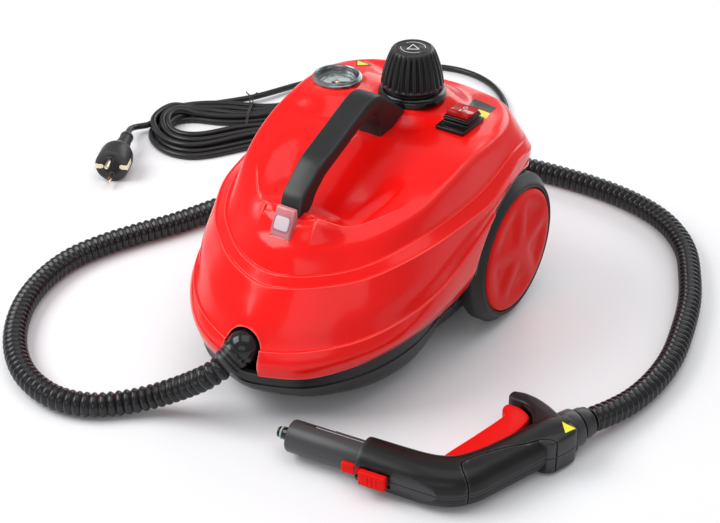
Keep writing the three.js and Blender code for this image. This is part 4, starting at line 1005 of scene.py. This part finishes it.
def frame_tier(name, low, high, radius):
    tier = slab(name, rounded(rect(*low[:2], *high[:2]), radius), low[2], high[2], BLACK_GLOSS,
                bevel=0.7)
    return carve(tier, [box_tool((SX - OPENING[0], ROCKER_Y - OPENING[1], low[2] - 5),
                                 (SX + OPENING[0], ROCKER_Y + OPENING[1], high[2] + 5))])


base_tier = frame_tier("switch_base", (SX - 14.8, SY - 19.5, SZ - 0.6),
                       (SX + 15.2, SY + 20, SZ + 3.0), 2.0)
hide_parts("switch_frame")
for k, inset in enumerate((0.2, 1.5, 0.5, 1.3)):
    frame_tier(f"switch_tier_{k}",
               (SX - 13.8 + inset, ROCKER_Y - 13.6 + inset, SZ + 2.6 + 1.7 * k),
               (SX + 13.8 - inset, ROCKER_Y + 13.9 - inset, SZ + 4.4 + 1.7 * k), 1.6)

# The rocker's own outline coordinates (y, z, x), tilted about X.
TILT = math.radians(-10)
rocker_place = placer(np.array([SX, ROCKER_Y, ROCKER_Z]), [0, math.cos(TILT), math.sin(TILT)],
                      [0, -math.sin(TILT), math.cos(TILT)], [1, 0, 0])


top = [[y, 3.6 + 2.2 * (abs(y) / 9.8) ** 1.6] for y in np.linspace(-10.2, 10.2, 25)]
rocker_outline = top + [[10.4, 5.2], [9.4, -1], [4, -5.4], [-4, -5.4], [-9.4, -1], [-10.4, 5.2]]
rocker = slab("switch_rocker_moulded", rocker_outline, -11.2, 11.2, RED_ROCKER, "rocker",
              bevel=0.5, place=rocker_place)
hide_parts("switch_rocker")
block("rocker_mark_on", (-6.8, 4.5, -0.6), (-2.8, 5.0, 0.6), MARK_WHITE, "rocker", bevel=0.1,
      place=rocker_place)
sweep = np.linspace(0, 2 * np.pi, 33)
ring_line = np.stack([5.2 + 1.9 * np.cos(sweep), 4.6 + 0.45 * np.cos(sweep),
                      1.9 * np.sin(sweep)], 1)
tube("rocker_mark_off", rocker_place(ring_line), 0.3, MARK_WHITE, "rocker", sides=8)

sticker("label_dark", [(48.6, 128.6), (75.2, 123.4), (73.6, 137), (43.4, 147)], LABEL_BLACK)
sticker("label_pale", [(50.2, 117), (78.2, 109.8), (75.4, 121.6), (49.2, 126.8)],
        LABEL_YELLOW)
sticker("label_triangle_rim", [(-84, 136.6), (-66.4, 138.0), (-73, 119.4)], LABEL_BLACK,
        lift=0.2)
sticker("label_triangle", [(-81.6, 134.8), (-69.2, 136.0), (-73.8, 122.6)], LABEL_YELLOW,
        lift=0.36)

# ---- rear wheels
RIM = 61.6
PETAL_DEPTH, HUBCAP_FACE = 2.8, 121
TYRE = [[RIM, 105.4], [64, 104.8], [71.6, 105], [73.6, 106], [TYRE_RADIUS, 107.6],
        [TYRE_RADIUS, 116.4], [73.9, 117.8], [72.8, 118.8], [67.6, 124.4], [66.6, 125.8],
        [65.6, 126.4], [64.6, 126.2], [64.0, 125.6], [63.2, 125.7], [62.6, 126.5],
        [62.0, 126.4], [RIM, 125.4]]


def hubcap_dish(angle, radius, along):
    """Five petals pressed into the hubcap, with narrow ridges between them."""
    if along < HUBCAP_FACE:
        return 0.0
    off = (angle + math.pi / 10) % (2 * math.pi / 5) - math.pi / 5
    from_ridge = radius * np.abs(np.sin(math.pi / 5 - np.abs(off)))
    press = smooth((from_ridge - 1.2) / 15) * smooth((radius - 6) / 20)
    return -PETAL_DEPTH * press * (1 - smooth((radius - 38) / 17))


CAP_FACE = [[r, 129.8 - 1.6 * (r / 55) ** 2] for r in np.linspace(0.4, 55, 42)]
CAP_FACE += [[57, 128.0], [58.6, 127.7], [59.8, 127.1], [60.6, 126.0], [60.9, 124.2],
             [60.9, 119.6]]
for label, side in (("left", -1), ("right", 1)):
    origin, axis, body = (0, WHEEL_Y, TYRE_RADIUS), (side, 0, 0), f"wheel_{label}"
    tyre = turned(f"tyre_{label}_moulded", TYRE, origin, axis, TYRE_RUBBER, body, sides=160,
                  loop=True)
    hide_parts(f"tyre_{label}")
    cover = turned(f"hubcap_{label}_pressed", [*CAP_FACE, [0.4, 119.6]], origin, axis,
                   RED_SATIN, body, sides=200, wave=hubcap_dish)
    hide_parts(f"hubcap_{label}")

# ---- hose outlet
SOCKET_RADIUS = 15.5
dome = [[SOCKET_RADIUS * math.sin(t), -SOCKET_RADIUS * math.cos(t)]
        for t in np.linspace(0.01, math.pi / 2 + 0.42, 30)]
socket = turned("hose_socket_dome", [*dome, [14.2, 6.6], [14.6, 7.6], [14.6, 9.6],
                                     [13.8, 10.4], [0.01, 10.4]],
                SOCKET_CENTRE, HOSE_OUT, BLACK_GLOSS)
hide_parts("hose_socket")
turned("hose_spigot", [[0.01, 0], [9, 0], [9, 24], [0.01, 24]], (0, -148, 68.4),
       (0, -1, 0.1), BLACK_SATIN, sides=48)
cuff = turned("hose_cuff_ribbed", [[7, 9.6], [12.8, 9.6], [13.3, 10.4], [13.3, 12.6],
                                   [12.5, 13.2], [12.5, 14.4], [13.1, 15], [13.1, 16.8],
                                   [12.4, 17.4], [12.4, 18.4], [12.9, 19], [12.9, 21.6],
                                   [12.2, 22.4], [7, 22.4]],
              SOCKET_CENTRE, HOSE_OUT, BLACK_SATIN, loop=True)
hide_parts("hose_cuff")

# ---- steam gun
GUN_FRONT = np.array([67, -195, 19.0])
GUN_ANGLE = math.radians(6.7)
GUN_U = np.array([math.cos(GUN_ANGLE), math.sin(GUN_ANGLE), 0])
GUN_V = np.array([-math.sin(GUN_ANGLE), math.cos(GUN_ANGLE), 0])


# Gun coordinates: u along the barrel, v towards the trigger, w up.
gun_place = placer(GUN_FRONT, GUN_U, GUN_V, UP)


def gun_point(u, v):
    return gun_place([[u, v, 0]])[0]


# Outer and inner edge of the gun's body as matching [u, v] points, half its thickness, and
# how square its section is.
GUN_OUTER = [[70, -20], [90, -21], [112, -21.5], [128, -21], [143, -18.5], [157, -13],
             [168, -4.5], [176, 6], [183, 20], [191, 36], [200, 54], [208, 69], [216, 85],
             [224, 101]]
GUN_INNER = [[70, 20], [90, 20], [109, 20], [121, 20.5], [131, 22.3], [141, 26.8], [148, 34],
             [154, 42], [161, 53], [167, 64], [173, 76], [179, 88], [187, 104], [200, 114]]
GUN_HALF = [18.9, 18.9, 18.9, 18.8, 18.6, 18.4, 18.2, 18, 17.8, 17.8, 17.8, 18, 18.2, 17.6]
GUN_SQUARE = [2.05, 2.1, 2.2, 2.3, 2.4, 2.5, 2.5, 2.5, 2.5, 2.5, 2.5, 2.5, 2.6, 2.8]
GUN_STEPS = 120
GUN_AROUND = 96


def gun_body():
    table = np.column_stack([GUN_OUTER, GUN_INNER, GUN_HALF, GUN_SQUARE])
    rows = catmull(table, GUN_STEPS)
    phi = np.linspace(0, 2 * np.pi, GUN_AROUND, endpoint=False)
    rings = []

    def add(row, scale=1.0, shift=0.0):
        outer, inner, half, square = row[:2], row[2:4], row[4], row[5]
        middle, reach = (outer + inner) / 2, (inner - outer) / 2
        power = 2 / square
        a = np.sign(np.cos(phi)) * np.abs(np.cos(phi)) ** power * scale
        b = np.sign(np.sin(phi)) * np.abs(np.sin(phi)) ** power * scale
        flat = middle + np.outer(a, reach) + [shift, 0]
        rings.append(gun_place(np.column_stack([flat, half * b])))

    add(rows[0], 0.72, 1.6)
    add(rows[0], 0.80, -0.2)
    add(rows[0], 0.93, -0.4)
    add(rows[0], 0.985, 0.2)
    for row in rows[1:]:
        add(row)
    add(rows[-1], 0.9, 1.2)
    return lofted("gun_shell_body", rings, BLACK_SATIN)


HOOK = [[196, 66], [212, 68], [220, 84], [225, 98], [213, 105], [203, 109], [190, 119],
        [176, 127.5], [163, 131.8], [152, 130], [150.5, 124], [152, 118.4], [168, 116.8],
        [179, 108], [184, 94]]
TRIGGER = [[137, 12], [145, 14], [150, 24], [161, 44], [172, 72], [177, 92], [178, 106],
           [166, 114.5], [152, 115.5], [150.5, 106], [157, 100], [152, 84], [143, 58],
           [135, 36], [131, 24]]
TRIGGER_ROOM = [[128, 6], [146, 6], [158, 26], [171, 50], [182, 72], [188, 100],
                [184, 116.5], [146, 116.5], [120, 40], [122, 16]]
PANEL = [[165, -3], [176, -9], [206, 20], [229, 58], [231, 67], [214, 73], [201, 70],
         [190, 58], [178, 46], [166, 32], [157, 19], [154, 10]]

body = gun_body()


def hook_place(points):
    """Gun coordinates of the hook, thinner towards its tip."""
    thin = 1 - 0.3 * smooth((205 - points[:, 0]) / 50)
    return gun_place(np.column_stack([points[:, :2], points[:, 2] * thin]))


hook = slab("hook", rounded(HOOK, 8, 5), -17.4, 17.4, None, body=None, bevel=5.0, segments=6,
            place=hook_place)
carve(body, [hook], "UNION")


def gun_slab(name, outline, low, high, material=None, body_name=None, **kw):
    flat = gun_place([[*p, 0] for p in outline])[:, :2]
    return slab(name, flat, GUN_FRONT[2] + low, GUN_FRONT[2] + high, material, body=body_name,
                **kw)


def gun_block(name, low, high, material, body_name="machine", **kw):
    return block(name, low, high, material, body_name, place=gun_place, **kw)


panel_line = catmull(PANEL, 160, closed=True)
panel_line = spaced(np.vstack([panel_line, panel_line[:1]]), 2)[:-1]
groove_lines = np.vstack([offset_ring(panel_line, -0.55), offset_ring(panel_line, 0.55)])


def groove_tool(low, high):
    ends = (gun_place(np.column_stack([groove_lines, np.full(len(groove_lines), w)]))
            for w in (high, low))
    return piece("tool", *thick(*ends, grid_faces(2, len(panel_line))), None, None)


carve(body, [
    box_tool((71.5, -60, -40), (152, -18.2, 40), gun_place),  # near flat
    gun_slab("seam", rect(40, -60, 300, 200), -0.35, 0.35),
    gun_slab("trigger_room", TRIGGER_ROOM, -8.5, 8.5),
    box_tool((74.5, -30, -7.5), (103, -16, 7.5), gun_place, bevel=0.5),  # button's room
    box_tool((55, -19.5, -5.5), (92, -12, 5.5), gun_place),  # catch's room
    groove_tool(1.0, 30),
    groove_tool(-30, -1.0),
])
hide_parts("gun_shell_upper", "gun_shell_lower", "gun_grip_panel_upper",
            "gun_grip_panel_lower")

gun_tree = BVHTree.FromObject(body, bpy.context.evaluated_depsgraph_get())
GUN_TRIANGLE = (208.3, 99.3), (221.6, 96.4), (216.1, 86.6)
sticker("gun_triangle", [gun_point(u, v)[:2] for u, v in GUN_TRIANGLE], LABEL_YELLOW,
        lift=0.3, tree=gun_tree)

trigger = gun_slab("gun_trigger_moulded", rounded(TRIGGER, 6, 4), -8, 8, RED_SATIN, "trigger",
                   bevel=1.8, segments=4)
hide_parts("gun_trigger")

barrel = turned("gun_barrel_tube", [[0.01, 0.6], [8.4, 0.6], [9.2, 0.2], [12.4, 0],
                                    [13.8, 0.5], [14.5, 1.8], [14.5, 78], [0.01, 78]],
                gun_point(0, 0), GUN_U, BLACK_SATIN)
carve(barrel, [box_tool((22, 2.6, 13.0), (74, 4.6, 18), gun_place)])
# A pale grey strip in the slot: a painted highlight for the light the groove catches.
gun_block("barrel_slot_highlight", (22.4, 3.0, 13.2), (73.6, 4.1, 14.0), SLOT_HIGHLIGHT_GREY, bevel=0.15)
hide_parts("gun_barrel")
gun_block("barrel_rib", (40, 4.6, 12.6), (78, 6.6, 14.4), BLACK_SATIN, bevel=0.5)
nozzle = turned("gun_nozzle_tip", [[2, -12], [4.2, -12], [4.8, -11.4], [4.8, -9.8],
                                   [3.8, -9.2], [3.8, -7.2], [5.2, -6.8], [5.6, -6],
                                   [5.6, -1.6], [6.8, -1.2], [6.8, 1.4], [2, 1.4]],
                gun_point(0, 0), GUN_U, BLACK_GLOSS, sides=64, loop=True)
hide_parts("gun_nozzle")
seal = turned("nozzle_seal_ring", rounded(rect(3.8, -9.1, 5.7, -7.3), 0.7), gun_point(0, 0),
              GUN_U, SEAL_GREEN, sides=64, loop=True)
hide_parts("nozzle_seal")

LOCK_SLIDE = [("button", (76, -25.6, -7), (101, -19, 7), 1.8, 4),
              *[(f"rib_{k}", (83.5 + 4 * k, -26.3, -4.6), (85.3 + 4 * k, -25.2, 4.6), 0.4, 3)
                for k in range(3)],
              ("catch", (57, -18.6, -5), (69.6, -14.2, 5), 1.2, 3),
              ("bridge", (68, -17.6, -3.6), (80, -14.6, 3.6), 0.5, 3)]
for name, low, high, bevel, segments in LOCK_SLIDE:
    part = gun_block(f"gun_lock_{name}", low, high, RED_SATIN, "lock_slide", bevel=bevel,
                     segments=segments)
    if name == "button":
        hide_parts("gun_lock_slide")

GRIP_AXIS = unit([0.488, 0.873])
collar_at = gun_point(210.5, 114.5)
collar_dir = GUN_U * GRIP_AXIS[0] + GUN_V * GRIP_AXIS[1]
gun_collar = turned("gun_collar_stepped",
                    [[6, -13], [16.4, -13], [17, -11.5], [17, 4.6], [16.2, 6], [13.2, 6.6],
                     [13.2, 8.4], [14.2, 9], [14.2, 15.4], [13.4, 17.2], [12.9, 20.4],
                     [12.2, 21], [6, 21]], collar_at, collar_dir, BLACK_SATIN,
                    loop=True)
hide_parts("gun_collar")

# ---- finishes of CAD nodes
for part in frame["record"]["subparts"]:
    for slot in NODES[part["node"]].material_slots:
        slot.material = BY_SLOT[part["material_slot"]]
